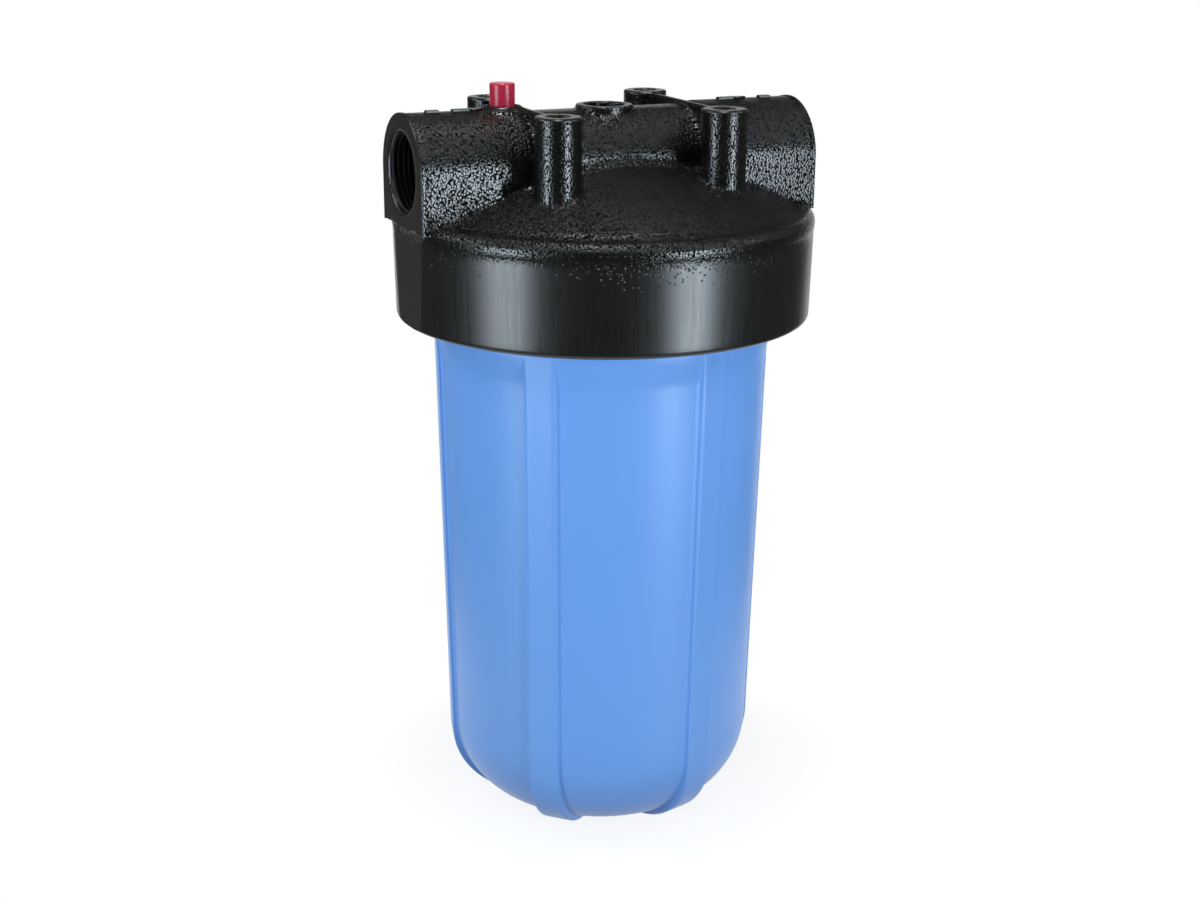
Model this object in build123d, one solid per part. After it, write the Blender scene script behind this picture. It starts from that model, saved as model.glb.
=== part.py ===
"""A whole-house water filter housing for a large 10 inch cartridge.

A black cap carries the two ports, four bracket posts and a pressure relief
button. A ribbed blue bowl screws up into the cap and holds a pleated filter
cartridge. Millimetres, +Z up, X along the ports, origin on the floor under
the centre of the bowl.
"""
from build123d import *
from math import cos, pi, sin, sqrt
import os

# Cartridge
CARTRIDGE_LENGTH = 248.0
CARTRIDGE_R = 57.15
GASKET_R = 22.5
GASKET_BORE_R = 14.0
GASKET_THICK = 3.0
END_CAP_THICK = 4.0
END_CAP_SKIRT = 9.0
END_CAP_WALL = 2.0
CORE_R = 18.0
CORE_WALL = 2.2
CORE_SLOT_COLUMNS = 8
CORE_SLOT_ROWS = 6
CORE_SLOT_WIDTH = 6.5
CORE_SLOT_BRIDGE = 8.0
PLEAT_COUNT = 44
PLEAT_THICK = 1.4
PLEAT_CORE_GAP = 2.5
PLEAT_CAP_GAP = 0.75

# Bowl
BOWL_ROOM = 11.25
BOWL_WALL = 4.6
BOWL_TAPER = 0.0225
BOWL_FOOT_LIFT = 3.1
BOWL_CORNER_WIDE = 35.5
BOWL_CORNER_HIGH = 37.7
PANEL_DEPTH = 1.8
PANEL_RAMP = 12.0
PANEL_TO_CAP = 4.6
FLARE_TO_CAP = 2.6
NECK_STEP = 6.1
NECK_WALL = 8.4
NECK_TOP_GAP = 0.6
NECK_EDGE = 0.6
RIB_COUNT = 6
RIB_FIRST_ANGLE = 45.0
RIB_WIDTH = 13.5
RIB_CORNER_WIDE = 40.0
RIB_CORNER_HIGH = 36.0
RIB_INNER_R = 23.0
RIB_ROOT_DEPTH = 2.5
RIB_EDGE_R = 0.8
SEAT_RISE = 10.8
SEAT_RING_MARGIN = 0.5
SPIGOT_GAP = 1.4
SPIGOT_HEIGHT = 9.0

# Bowl seal
SEAL_WIDTH = 3.9
SEAL_HEIGHT = 3.8
SEAL_ROUND = 1.5
SEAL_SIDE_GAP = 0.25
SEAL_TO_NECK_EDGE = 3.9

# Cap: skirt, rim and dome
THREAD_ROOM = 3.4
SKIRT_DEPTH = 36.0
SKIRT_WALL = 6.5
SKIRT_DRAFT = 0.8
SKIRT_EDGE_R = 3.0
SKIRT_MOUTH_CHAMFER = 1.2
SKIRT_FLAT_DEPTH = 1.9
RIM_LIP = 0.4
RIM_RISE = 6.2
RIM_UNDERSIDE_DROP = 3.0
VALLEY_INSET = 8.5
VALLEY_RISE = 4.4
DOME_INSET = 11.5
DOME_EDGE_RISE = 6.5
DOME_SHOULDER_R = 30.0
DOME_RISE = 17.0
DOME_CROWN = 3.4
DOME_BULGE = 1.6
DOME_WALL = 6.2
CAVITY_MARGIN = 6.0

# Cap: the two ports and the tube between them
PORT_RISE = 23.7
PORT_REACH = 0.0
PORT_HOLE_R = 16.7
PORT_WALL = 7.8
PORT_BAND = 1.8
PORT_BAND_STEP = 0.35
PORT_SHOULDER_R = 1.0
PORT_ROUND_SETBACK = 4.0
PORT_BLOCK_SETBACK = 16.0
PORT_BLOCK_FOOT_RISE = 0.9
PORT_BLOCK_CORNER_R = 3.5
PORT_HOLE_DEPTH = 26.0
PORT_HOLE_CHAMFER = 1.0
TUBE_STEP = 1.5
TUBE_FOOT_FILLET = 3.0
PASSAGE_R = 13.0
DUCT_WALL = 4.2
DUCT_PARTITION = 9.2

# Cap: posts, webs and middle boss
POST_PITCH = 76.0
POST_R = 9.75
POST_RISE = 2.0
POST_HOLE_R = 4.5
POST_HOLE_DEPTH = 24.0
POST_FILLET = 1.0
POST_FOOT_FILLET = 1.2
WEB_THICK = 3.0
WEB_DROP = 0.6
MID_BOSS_R = 12.35
MID_BOSS_RISE = 1.3
MID_BOSS_HOLE_R = 8.5
MID_BOSS_HOLE_DEPTH = 7.0
MID_BOSS_FOOT_R = 15.0
MID_BOSS_FOOT_DROP = 3.4

# Cap: outlet collar that seals on the cartridge, and the inlet's way down
COLLAR_MARGIN = 2.5
COLLAR_BORE_MARGIN = 1.0
COLLAR_DROP = 1.6
INLET_WINDOW_X = 45.0
INLET_WINDOW_R = 10.0

# Pressure relief
RELIEF_SETBACK = 9.0
RELIEF_BOSS_WALL = 3.95
RELIEF_BOSS_FLARE = 2.7
RELIEF_BOSS_RISE = 1.8
RELIEF_BOSS_WAIST = 3.0
RELIEF_BOSS_LIP_R = 1.5
RELIEF_BOSS_FUNNEL = 0.9
BUTTON_R = 5.35
BUTTON_SHOW = 8.7
BUTTON_EDGE_R = 0.8
BUTTON_WALL = 1.15
BUTTON_CROWN = 4.5
BUTTON_TRAVEL = 3.0
BUTTON_SIDE_GAP = 0.25
BUTTON_BOTTOM_GAP = 0.2
STEM_R = 2.0
STEM_GRIP = 2.5
STEM_RUN_GAP = 0.05
STEM_FLAT = 0.5
STEM_FLANGE_R = 4.5
STEM_FLANGE_THICK = 1.4
GUIDE_LENGTH = 4.0
SEAT_POCKET = 0.5
SEAT_SIDE_GAP = 1.1
RELIEF_SEAL_MARGIN = 0.4
RELIEF_SEAL_THICK = 1.8
RING_WIDTH = 1.2
RING_THICK = 0.9
RING_DROP = 1.5
RING_GAP = 0.08
SPRING_WIRE_R = 0.35
SPRING_TURNS = 5
SPRING_SIDE_GAP = 0.3

# Heights that follow, from the floor up
FLOOR_Z = BOWL_FOOT_LIFT + BOWL_WALL
SEAT_Z = FLOOR_Z + SEAT_RISE
COLLAR_FOOT_Z = SEAT_Z + CARTRIDGE_LENGTH
SEAL_FACE_Z = COLLAR_FOOT_Z + COLLAR_DROP
NECK_TOP_Z = SEAL_FACE_Z - NECK_TOP_GAP
CAP_FOOT_Z = SEAL_FACE_Z - SKIRT_DEPTH
PANEL_TOP_Z = CAP_FOOT_Z - PANEL_TO_CAP
FLARE_Z = CAP_FOOT_Z - FLARE_TO_CAP
CAP_RIM_Z = SEAL_FACE_Z + RIM_RISE
VALLEY_Z = CAP_RIM_Z + VALLEY_RISE
DOME_EDGE_Z = CAP_RIM_Z + DOME_EDGE_RISE
DOME_SHOULDER_Z = DOME_EDGE_Z + DOME_RISE
DOME_TOP_Z = DOME_SHOULDER_Z + DOME_CROWN
PORT_BLOCK_FOOT_Z = CAP_RIM_Z + PORT_BLOCK_FOOT_RISE
PORT_AXIS_Z = CAP_RIM_Z + PORT_RISE

# Widths that follow, from the cartridge out
PLEAT_OUTER_R = CARTRIDGE_R - END_CAP_WALL - PLEAT_CAP_GAP
PLEAT_INNER_R = CORE_R + PLEAT_CORE_GAP
BOWL_TOP_R = CARTRIDGE_R + BOWL_ROOM + BOWL_WALL + PANEL_DEPTH
NECK_R = BOWL_TOP_R + NECK_STEP
NECK_BORE_R = NECK_R - NECK_WALL
SEAL_MID_R = NECK_R - SEAL_TO_NECK_EDGE
SKIRT_BORE_R = NECK_R + THREAD_ROOM
SKIRT_FOOT_R = SKIRT_BORE_R + SKIRT_WALL
SKIRT_TOP_R = SKIRT_FOOT_R + SKIRT_DRAFT
RIM_R = SKIRT_TOP_R + RIM_LIP
SKIRT_FLAT_X = SKIRT_TOP_R - SKIRT_FLAT_DEPTH
VALLEY_R = RIM_R - VALLEY_INSET
DOME_EDGE_R = RIM_R - DOME_INSET
CAVITY_R = SEAL_MID_R - CAVITY_MARGIN
COLLAR_R = GASKET_R - COLLAR_MARGIN
COLLAR_BORE_R = GASKET_BORE_R - COLLAR_BORE_MARGIN
SEAT_RING_R = GASKET_R - SEAT_RING_MARGIN
SPIGOT_R = GASKET_BORE_R - SPIGOT_GAP

# Ports, posts and bosses that follow
FACE_X = RIM_R + PORT_REACH
PORT_R = PORT_HOLE_R + PORT_WALL
TUBE_R = PORT_R - TUBE_STEP
PORT_ROUND_END_X = POST_PITCH / 2 + PORT_ROUND_SETBACK
PORT_BLOCK_END_X = POST_PITCH / 2 + PORT_BLOCK_SETBACK
POST_TOP_Z = PORT_AXIS_Z + TUBE_R + POST_RISE
MID_BOSS_TOP_Z = PORT_AXIS_Z + TUBE_R + MID_BOSS_RISE

# Relief valve sizes that follow
RELIEF_X = -(POST_PITCH / 2 + RELIEF_SETBACK)
RELIEF_BOSS_R = BUTTON_R + RELIEF_BOSS_WALL
RELIEF_BOSS_TOP_Z = PORT_AXIS_Z + PORT_R + RELIEF_BOSS_RISE
GUIDE_FOOT_Z = PORT_AXIS_Z + PASSAGE_R + SEAT_POCKET
WELL_FLOOR_Z = GUIDE_FOOT_Z + GUIDE_LENGTH
BUTTON_TOP_Z = RELIEF_BOSS_TOP_Z + BUTTON_SHOW
BUTTON_FOOT_Z = WELL_FLOOR_Z + BUTTON_TRAVEL + BUTTON_BOTTOM_GAP
SPRING_TOP_Z = BUTTON_TOP_Z - BUTTON_CROWN
RING_FOOT_Z = RELIEF_BOSS_TOP_Z - RING_DROP - RING_THICK
SEAT_R = STEM_FLANGE_R + SEAT_SIDE_GAP
RELIEF_SEAL_R = STEM_FLANGE_R - RELIEF_SEAL_MARGIN


def place(solid, x=0.0, y=0.0, z=0.0):
    """The solid moved to a point."""
    return Pos(x, y, z) * solid


def rod(radius, low, high, x=0.0, y=0.0):
    """An upright round bar between two heights."""
    return Pos(x, y, (low + high) / 2) * Cylinder(radius, high - low)


def bar_x(radius, start, end, z):
    """A round bar along X between two places."""
    return Pos((start + end) / 2, 0, z) * Rot(0, 90, 0) * Cylinder(radius, abs(end - start))


def ring(outer, inner, low, high, x=0.0, y=0.0):
    """A flat-ended ring between two heights."""
    return rod(outer, low, high, x, y) - rod(inner, low, high, x, y)


def turned(lines):
    """A solid of revolution about Z from a closed outline in the XZ plane."""
    return revolve(make_face(lines), Axis.Z)


def outline(points):
    """Straight edges that join the points, in the XZ plane."""
    return Polyline([(x, 0, z) for x, z in points])


def arc(start, middle, end):
    """An arc through three points of the XZ plane."""
    return ThreePointArc(*[(x, 0, z) for x, z in (start, middle, end)])


def bowl_r(z):
    """Outer radius of the tapered bowl at a height, over the ribs."""
    return BOWL_TOP_R - (CAP_FOOT_Z - z) * BOWL_TAPER


def corner(wide, high, tip_r, foot_z):
    """A quarter ellipse from the bottom of the bowl up to its side."""
    centre = (tip_r - wide, 0, foot_z + high)
    plane = Plane(origin=centre, x_dir=(1, 0, 0), z_dir=(0, -1, 0))
    return plane * EllipticalCenterArc((0, 0), wide, high, start_angle=-90, arc_size=90)


def cap_dome():
    """The dome, rim and skirt as one solid of revolution."""
    rim_top = (VALLEY_R + 4.0, VALLEY_Z + 0.3)
    rim_side = (RIM_R, CAP_RIM_Z)
    rim_under = (SKIRT_TOP_R, CAP_RIM_Z - RIM_UNDERSIDE_DROP)
    foot_side = (SKIRT_FOOT_R, CAP_FOOT_Z + SKIRT_EDGE_R)
    foot_under = (SKIRT_FOOT_R - SKIRT_EDGE_R, CAP_FOOT_Z)
    bulge = SKIRT_EDGE_R * (1 - cos(pi / 4))
    foot_mid = (SKIRT_FOOT_R - bulge, CAP_FOOT_Z + bulge)
    shoulder = (DOME_SHOULDER_R, DOME_SHOULDER_Z)
    edge = (DOME_EDGE_R, DOME_EDGE_Z)
    middle = ((DOME_SHOULDER_R + DOME_EDGE_R) / 2, (DOME_SHOULDER_Z + DOME_EDGE_Z) / 2 + DOME_BULGE)
    top = (0, DOME_TOP_Z)
    top_mid = (DOME_SHOULDER_R / 2, DOME_TOP_Z - (DOME_TOP_Z - DOME_SHOULDER_Z) * 0.3)
    valley = (VALLEY_R + 0.8, VALLEY_Z)
    return turned([
        arc(top, top_mid, shoulder),
        arc(shoulder, middle, edge),
        arc(edge, (VALLEY_R - 0.8, VALLEY_Z + 0.3), valley),
        arc(valley, (VALLEY_R + 2.4, VALLEY_Z + 0.1), rim_top),
        arc(rim_top, (RIM_R - 1.3, CAP_RIM_Z + 3.2), rim_side),
        arc(rim_side, (RIM_R - 0.1, CAP_RIM_Z - 1.6), rim_under),
        outline([rim_under, foot_side]),
        arc(foot_side, foot_mid, foot_under),
        outline([foot_under, (0, CAP_FOOT_Z), top]),
    ])


def cap_hollow():
    """The space under the dome and inside the skirt."""
    mouth = SKIRT_BORE_R + SKIRT_MOUTH_CHAMFER
    below = CAP_FOOT_Z - 1
    return turned([outline([
        (0, below), (mouth, below), (mouth, CAP_FOOT_Z),
        (SKIRT_BORE_R, CAP_FOOT_Z + SKIRT_MOUTH_CHAMFER), (SKIRT_BORE_R, SEAL_FACE_Z),
        (CAVITY_R, SEAL_FACE_Z), (CAVITY_R, DOME_EDGE_Z - DOME_WALL + 2.0),
        (DOME_SHOULDER_R, DOME_SHOULDER_Z - DOME_WALL), (0, DOME_TOP_Z - DOME_WALL - 1.5), (0, below)])])


def port_block(side):
    """One port: a round end, its upright flanks and a plain band at the mouth."""
    body_r = PORT_R - PORT_BAND_STEP
    body = bar_x(body_r, side * PORT_ROUND_END_X, side * (FACE_X - PORT_BAND), PORT_AXIS_Z)
    shoulder = body.edges().filter_by(GeomType.CIRCLE).sort_by(Axis.X)[0 if side > 0 else -1]
    body = fillet(shoulder, PORT_SHOULDER_R)
    band = bar_x(PORT_R, side * (FACE_X - PORT_BAND), side * FACE_X, PORT_AXIS_Z)
    flank_long = FACE_X - PORT_BLOCK_END_X
    flank_high = PORT_AXIS_Z - PORT_BLOCK_FOOT_Z
    flank = Box(flank_long, 2 * body_r, flank_high)
    inner_edges = flank.edges().filter_by(Axis.Z).sort_by(Axis.X)
    inner_edges = inner_edges[:2] if side > 0 else inner_edges[2:]
    flank = fillet(inner_edges, PORT_BLOCK_CORNER_R)
    flank = place(flank, side * (FACE_X + PORT_BLOCK_END_X) / 2, 0, PORT_AXIS_Z - flank_high / 2)
    lower_band = Box(PORT_BAND, 2 * PORT_R, flank_high)
    lower_band = place(lower_band, side * (FACE_X - PORT_BAND / 2), 0, PORT_AXIS_Z - flank_high / 2)
    return body + band + flank + lower_band


def dome_with_posts():
    """The dome and its four bracket posts, each with a small round at its foot."""
    half = POST_PITCH / 2
    shape = cap_dome()
    for x in (-half, half):
        for y in (-half, half):
            post = rod(POST_R, DOME_EDGE_Z + 2.0, POST_TOP_Z, x, y)
            shape += fillet(post.edges().group_by(Axis.Z)[-1], POST_FILLET)
    feet = [edge for edge in shape.edges() if is_post_foot(edge.bounding_box())]
    return fillet(feet, POST_FOOT_FILLET)


def is_post_foot(box):
    """True for the box round an edge where a post leaves the dome."""
    middle = box.center()
    half = POST_PITCH / 2
    over_post = abs(abs(middle.X) - half) < 3 and abs(abs(middle.Y) - half) < 3
    return over_post and min(box.size.X, box.size.Y) > 2 * POST_R - 1 and box.max.Z < POST_TOP_Z - 5


def webs():
    """Two thin webs that join the posts front to back."""
    foot_z = DOME_EDGE_Z + 2.0
    web = Box(WEB_THICK, POST_PITCH, POST_TOP_Z - WEB_DROP - foot_z)
    return [place(web, side * POST_PITCH / 2, 0, (POST_TOP_Z - WEB_DROP + foot_z) / 2) for side in (-1, 1)]


def with_tube(shape):
    """The tube between the ports, let into the dome with a rounded foot."""
    shape += bar_x(TUBE_R, -PORT_ROUND_END_X, PORT_ROUND_END_X, PORT_AXIS_Z)
    feet = []
    for edge in shape.edges().filter_by(GeomType.BSPLINE):
        box = edge.bounding_box()
        beside_tube = abs(abs(box.center().Y) - TUBE_R) < 1.5 and box.size.Y < 3
        if beside_tube and box.size.X > 10 and DOME_EDGE_Z < box.max.Z < DOME_TOP_Z:
            feet.append(edge)
    return fillet(feet, TUBE_FOOT_FILLET)


def middle_boss():
    """The plugged gauge boss in the middle of the tube, with a flared foot."""
    foot_top = MID_BOSS_TOP_Z - MID_BOSS_FOOT_DROP
    flare = Cone(MID_BOSS_FOOT_R, MID_BOSS_R, MID_BOSS_FOOT_DROP)
    flare = place(flare, 0, 0, foot_top - MID_BOSS_FOOT_DROP / 2)
    return rod(MID_BOSS_R, PORT_AXIS_Z, MID_BOSS_TOP_Z) + flare


def relief_boss():
    """The raised crater that guards the relief button."""
    waist_z = RELIEF_BOSS_TOP_Z - RELIEF_BOSS_WAIST
    foot_z = PORT_AXIS_Z + sqrt(PORT_R ** 2 - (RELIEF_BOSS_R + RELIEF_BOSS_FLARE) ** 2) - 1
    cone = Cone(RELIEF_BOSS_R + RELIEF_BOSS_FLARE, RELIEF_BOSS_R, waist_z - foot_z)
    cone = place(cone, RELIEF_X, 0, (waist_z + foot_z) / 2)
    lip = rod(RELIEF_BOSS_R, waist_z, RELIEF_BOSS_TOP_Z, RELIEF_X)
    lip = fillet(lip.edges().group_by(Axis.Z)[-1], RELIEF_BOSS_LIP_R)
    return cone + lip


def water_ways():
    """Everything that is cut out of the cap for the water."""
    cuts = []
    for side in (-1, 1):
        inner_x = side * (FACE_X - PORT_HOLE_DEPTH)
        cuts.append(bar_x(PORT_HOLE_R, inner_x, side * FACE_X, PORT_AXIS_Z))
        chamfer_cone = Cone(PORT_HOLE_R, PORT_HOLE_R + PORT_HOLE_CHAMFER, PORT_HOLE_CHAMFER)
        chamfer_cone = Rot(0, side * 90, 0) * chamfer_cone
        cuts.append(place(chamfer_cone, side * (FACE_X - PORT_HOLE_CHAMFER / 2), 0, PORT_AXIS_Z))
    cuts.append(bar_x(PASSAGE_R, -FACE_X + 1, -(PASSAGE_R + DUCT_PARTITION), PORT_AXIS_Z))
    cuts.append(bar_x(PASSAGE_R, 0, FACE_X - 1, PORT_AXIS_Z))
    cuts.append(place(Sphere(PASSAGE_R), 0, 0, PORT_AXIS_Z))
    cuts.append(rod(COLLAR_BORE_R, COLLAR_FOOT_Z - 1, PORT_AXIS_Z))
    cuts.append(rod(INLET_WINDOW_R, SEAL_FACE_Z, PORT_AXIS_Z, -INLET_WINDOW_X))
    return cuts


def cap_outside():
    """The cap's outer form, still solid inside."""
    shape = with_tube(dome_with_posts())
    flat_high = PORT_BLOCK_FOOT_Z - CAP_FOOT_Z + 1
    for side in (-1, 1):
        flat = Box(2 * (RIM_R - SKIRT_FLAT_X), 2 * RIM_R, flat_high)
        shape -= place(flat, side * RIM_R, 0, PORT_BLOCK_FOOT_Z - flat_high / 2)
    for side in (-1, 1):
        shape += port_block(side)
    for web in webs():
        shape += web
    return shape + middle_boss() + relief_boss()


def blind_holes():
    """The screw holes in the posts and the plugged hole in the middle boss."""
    half = POST_PITCH / 2
    cuts = [rod(MID_BOSS_HOLE_R, MID_BOSS_TOP_Z - MID_BOSS_HOLE_DEPTH, MID_BOSS_TOP_Z + 1)]
    for x in (-half, half):
        for y in (-half, half):
            cuts.append(rod(POST_HOLE_R, POST_TOP_Z - POST_HOLE_DEPTH, POST_TOP_Z + 1, x, y))
    return cuts


def relief_well():
    """The stepped hole that the relief parts work in."""
    ring_r = BUTTON_R + RING_GAP + RING_WIDTH
    funnel_z = RELIEF_BOSS_TOP_Z - RELIEF_BOSS_FUNNEL
    return [
        place(Cone(ring_r, ring_r + RELIEF_BOSS_FUNNEL, RELIEF_BOSS_FUNNEL), RELIEF_X, 0, (funnel_z + RELIEF_BOSS_TOP_Z) / 2),
        rod(ring_r, RING_FOOT_Z, RELIEF_BOSS_TOP_Z + 1, RELIEF_X),
        rod(BUTTON_R + BUTTON_SIDE_GAP, WELL_FLOOR_Z, RING_FOOT_Z + 1, RELIEF_X),
        rod(STEM_R + STEM_RUN_GAP, GUIDE_FOOT_Z - 1, WELL_FLOOR_Z + 1, RELIEF_X),
        rod(SEAT_R, PORT_AXIS_Z, GUIDE_FOOT_Z, RELIEF_X),
    ]


def cap():
    """The whole cap, one moulding."""
    shape = cap_outside()
    shape -= cap_hollow()
    duct_r = PASSAGE_R + DUCT_WALL
    shape += bar_x(duct_r, -CAVITY_R, CAVITY_R, PORT_AXIS_Z)
    shape += rod(COLLAR_R, COLLAR_FOOT_Z, PORT_AXIS_Z)
    for cut in water_ways() + relief_well() + blind_holes():
        shape -= cut
    return shape


def bowl_outside():
    """The tapered bowl with sunk panels between its ribs, and its threaded neck."""
    ramp_z = PANEL_TOP_Z - PANEL_RAMP
    corner_z = BOWL_FOOT_LIFT + BOWL_CORNER_HIGH
    side_r = bowl_r(corner_z) - PANEL_DEPTH
    neck_z = FLARE_Z + NECK_R - BOWL_TOP_R
    lines = [
        outline([(0, NECK_TOP_Z), (0, BOWL_FOOT_LIFT), (side_r - BOWL_CORNER_WIDE, BOWL_FOOT_LIFT)]),
        corner(BOWL_CORNER_WIDE, BOWL_CORNER_HIGH, side_r, BOWL_FOOT_LIFT),
        outline([
            (side_r, corner_z), (bowl_r(ramp_z) - PANEL_DEPTH, ramp_z), (bowl_r(PANEL_TOP_Z), PANEL_TOP_Z),
            (BOWL_TOP_R, FLARE_Z), (NECK_R, neck_z), (NECK_R, NECK_TOP_Z - NECK_EDGE),
            (NECK_R - NECK_EDGE, NECK_TOP_Z), (0, NECK_TOP_Z)]),
    ]
    return turned(lines)


def bowl_hollow():
    """The space inside the bowl, with the same wall all round."""
    corner_z = BOWL_FOOT_LIFT + BOWL_CORNER_HIGH
    wall_r = bowl_r(corner_z) - PANEL_DEPTH - BOWL_WALL
    wide = BOWL_CORNER_WIDE - BOWL_WALL
    high = BOWL_CORNER_HIGH - BOWL_WALL
    top_r = bowl_r(PANEL_TOP_Z) - PANEL_DEPTH - BOWL_WALL
    step_z = FLARE_Z + NECK_R - BOWL_TOP_R
    lines = [
        outline([(0, NECK_TOP_Z + 1), (0, FLOOR_Z), (wall_r - wide, FLOOR_Z)]),
        corner(wide, high, wall_r, FLOOR_Z),
        outline([
            (wall_r, corner_z), (top_r, PANEL_TOP_Z), (NECK_BORE_R, step_z),
            (NECK_BORE_R, NECK_TOP_Z + 1), (0, NECK_TOP_Z + 1)]),
    ]
    return turned(lines)


def bowl_rib():
    """One flat-faced rib that runs down the side and round the corner to a foot."""
    corner_z = RIB_CORNER_HIGH
    flat_drop = BOWL_TOP_R - sqrt(BOWL_TOP_R ** 2 - (RIB_WIDTH / 2) ** 2)
    side_r = bowl_r(corner_z) - flat_drop
    top_r = bowl_r(PANEL_TOP_Z) - flat_drop
    root_r = side_r - PANEL_DEPTH - RIB_ROOT_DEPTH
    inner_z = BOWL_FOOT_LIFT + RIB_ROOT_DEPTH
    lines = [
        outline([(RIB_INNER_R, inner_z), (RIB_INNER_R, 0), (side_r - RIB_CORNER_WIDE, 0)]),
        corner(RIB_CORNER_WIDE, RIB_CORNER_HIGH, side_r, 0),
        outline([(side_r, corner_z), (top_r, PANEL_TOP_Z), (root_r, PANEL_TOP_Z), (root_r, corner_z)]),
        arc((root_r, corner_z), (root_r * 0.83, inner_z + corner_z * 0.22), (root_r * 0.45, inner_z)),
        outline([(root_r * 0.45, inner_z), (RIB_INNER_R, inner_z)]),
    ]
    rib = extrude(make_face(lines), RIB_WIDTH / 2, dir=(0, 1, 0), both=True)
    outer_edges = [edge for edge in rib.edges() if is_rib_edge(edge.bounding_box(), top_r)]
    return fillet(outer_edges, RIB_EDGE_R)


def is_rib_edge(box, top_r):
    """True for the box round one of a rib's long outer edges."""
    in_side_face = box.size.Y < 0.01 and abs(abs(box.center().Y) - RIB_WIDTH / 2) < 0.01
    under_foot = box.min.Z < 0.01 and box.size.X > 1
    up_the_side = box.size.Z > PANEL_TOP_Z / 2 and box.max.X > top_r - 0.5
    return in_side_face and (under_foot or up_the_side)


def bowl():
    """The blue bowl, one moulding."""
    shape = bowl_outside()
    for turn in range(RIB_COUNT):
        shape += Rot(0, 0, RIB_FIRST_ANGLE + turn * 360 / RIB_COUNT) * bowl_rib()
    shape -= bowl_hollow()
    shape += rod(SEAT_RING_R, FLOOR_Z - 1, SEAT_Z)
    shape += rod(SPIGOT_R, SEAT_Z - 1, SEAT_Z + SPIGOT_HEIGHT)
    groove_half = SEAL_WIDTH / 2 + SEAL_SIDE_GAP
    groove_z = SEAL_FACE_Z - SEAL_HEIGHT
    shape -= ring(SEAL_MID_R + groove_half, SEAL_MID_R - groove_half, groove_z, NECK_TOP_Z + 1)
    return shape


def bowl_seal():
    """The rubber ring that is squeezed flat between the bowl's neck and the cap."""
    low = SEAL_FACE_Z - SEAL_HEIGHT
    shape = ring(SEAL_MID_R + SEAL_WIDTH / 2, SEAL_MID_R - SEAL_WIDTH / 2, low, SEAL_FACE_Z)
    return fillet(shape.edges(), SEAL_ROUND)


def relief_button():
    """The red cap of the relief valve, hollow for its spring."""
    shape = rod(BUTTON_R, BUTTON_FOOT_Z, BUTTON_TOP_Z, RELIEF_X)
    shape = fillet(shape.edges().group_by(Axis.Z)[-1], BUTTON_EDGE_R)
    shape -= rod(BUTTON_R - BUTTON_WALL, BUTTON_FOOT_Z - 1, SPRING_TOP_Z, RELIEF_X)
    return shape - rod(STEM_R, SPRING_TOP_Z - 1, SPRING_TOP_Z + STEM_GRIP, RELIEF_X)


def relief_stem():
    """The steel pin that opens the relief valve, with a flat that lets water past."""
    flange_top = GUIDE_FOOT_Z - RELIEF_SEAL_THICK
    flange_foot = flange_top - STEM_FLANGE_THICK
    pin = rod(STEM_R, flange_foot, SPRING_TOP_Z + STEM_GRIP, RELIEF_X)
    flat_low = GUIDE_FOOT_Z + 0.5
    flat_high = WELL_FLOOR_Z + BUTTON_TRAVEL + 1.5
    flat = Box(STEM_R, 2 * STEM_R, flat_high - flat_low)
    flat = place(flat, RELIEF_X + 1.5 * STEM_R - STEM_FLAT, 0, (flat_low + flat_high) / 2)
    return pin - flat + rod(STEM_FLANGE_R, flange_foot, flange_top, RELIEF_X)


def relief_seal():
    """The small rubber ring that the stem's flange pulls up against its seat."""
    low = GUIDE_FOOT_Z - RELIEF_SEAL_THICK
    shape = ring(RELIEF_SEAL_R, STEM_R, low, GUIDE_FOOT_Z, RELIEF_X)
    outer_edges = shape.edges().filter_by(GeomType.CIRCLE).sort_by(SortBy.RADIUS)[-2:]
    return fillet(outer_edges, RELIEF_SEAL_THICK * 0.3)


def relief_ring():
    """The bright steel ring round the foot of the button."""
    inner = BUTTON_R + RING_GAP
    return ring(inner + RING_WIDTH, inner, RING_FOOT_Z, RING_FOOT_Z + RING_THICK, RELIEF_X)


def relief_spring():
    """The coil spring that lifts the button."""
    coil_r = BUTTON_R - BUTTON_WALL - SPRING_SIDE_GAP - SPRING_WIRE_R
    height = SPRING_TOP_Z - WELL_FLOOR_Z - 2 * SPRING_WIRE_R
    path = Helix(height / SPRING_TURNS, height, coil_r)
    section = Plane(origin=path @ 0, z_dir=path % 0) * Circle(SPRING_WIRE_R)
    coil = sweep(section, path, is_frenet=True)
    return place(coil, RELIEF_X, 0, WELL_FLOOR_Z + SPRING_WIRE_R)


def cartridge_gasket(low):
    """A soft washer on one end of the cartridge."""
    return ring(GASKET_R, GASKET_BORE_R, low, low + GASKET_THICK)


def end_cap(face_z, inward):
    """A moulded end cap: a disc with a short skirt round the pleats."""
    disc_end = face_z + inward * END_CAP_THICK
    skirt_end = disc_end + inward * END_CAP_SKIRT
    low, high = sorted((face_z, disc_end))
    disc = rod(CARTRIDGE_R, low, high)
    disc = fillet(disc.edges().group_by(Axis.Z)[0 if inward > 0 else -1], END_CAP_WALL * 0.7)
    low, high = sorted((disc_end, skirt_end))
    skirt = ring(CARTRIDGE_R, CARTRIDGE_R - END_CAP_WALL, low, high)
    bore = rod(GASKET_BORE_R, face_z - 2 * END_CAP_THICK, face_z + 2 * END_CAP_THICK)
    return disc + skirt - bore


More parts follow.
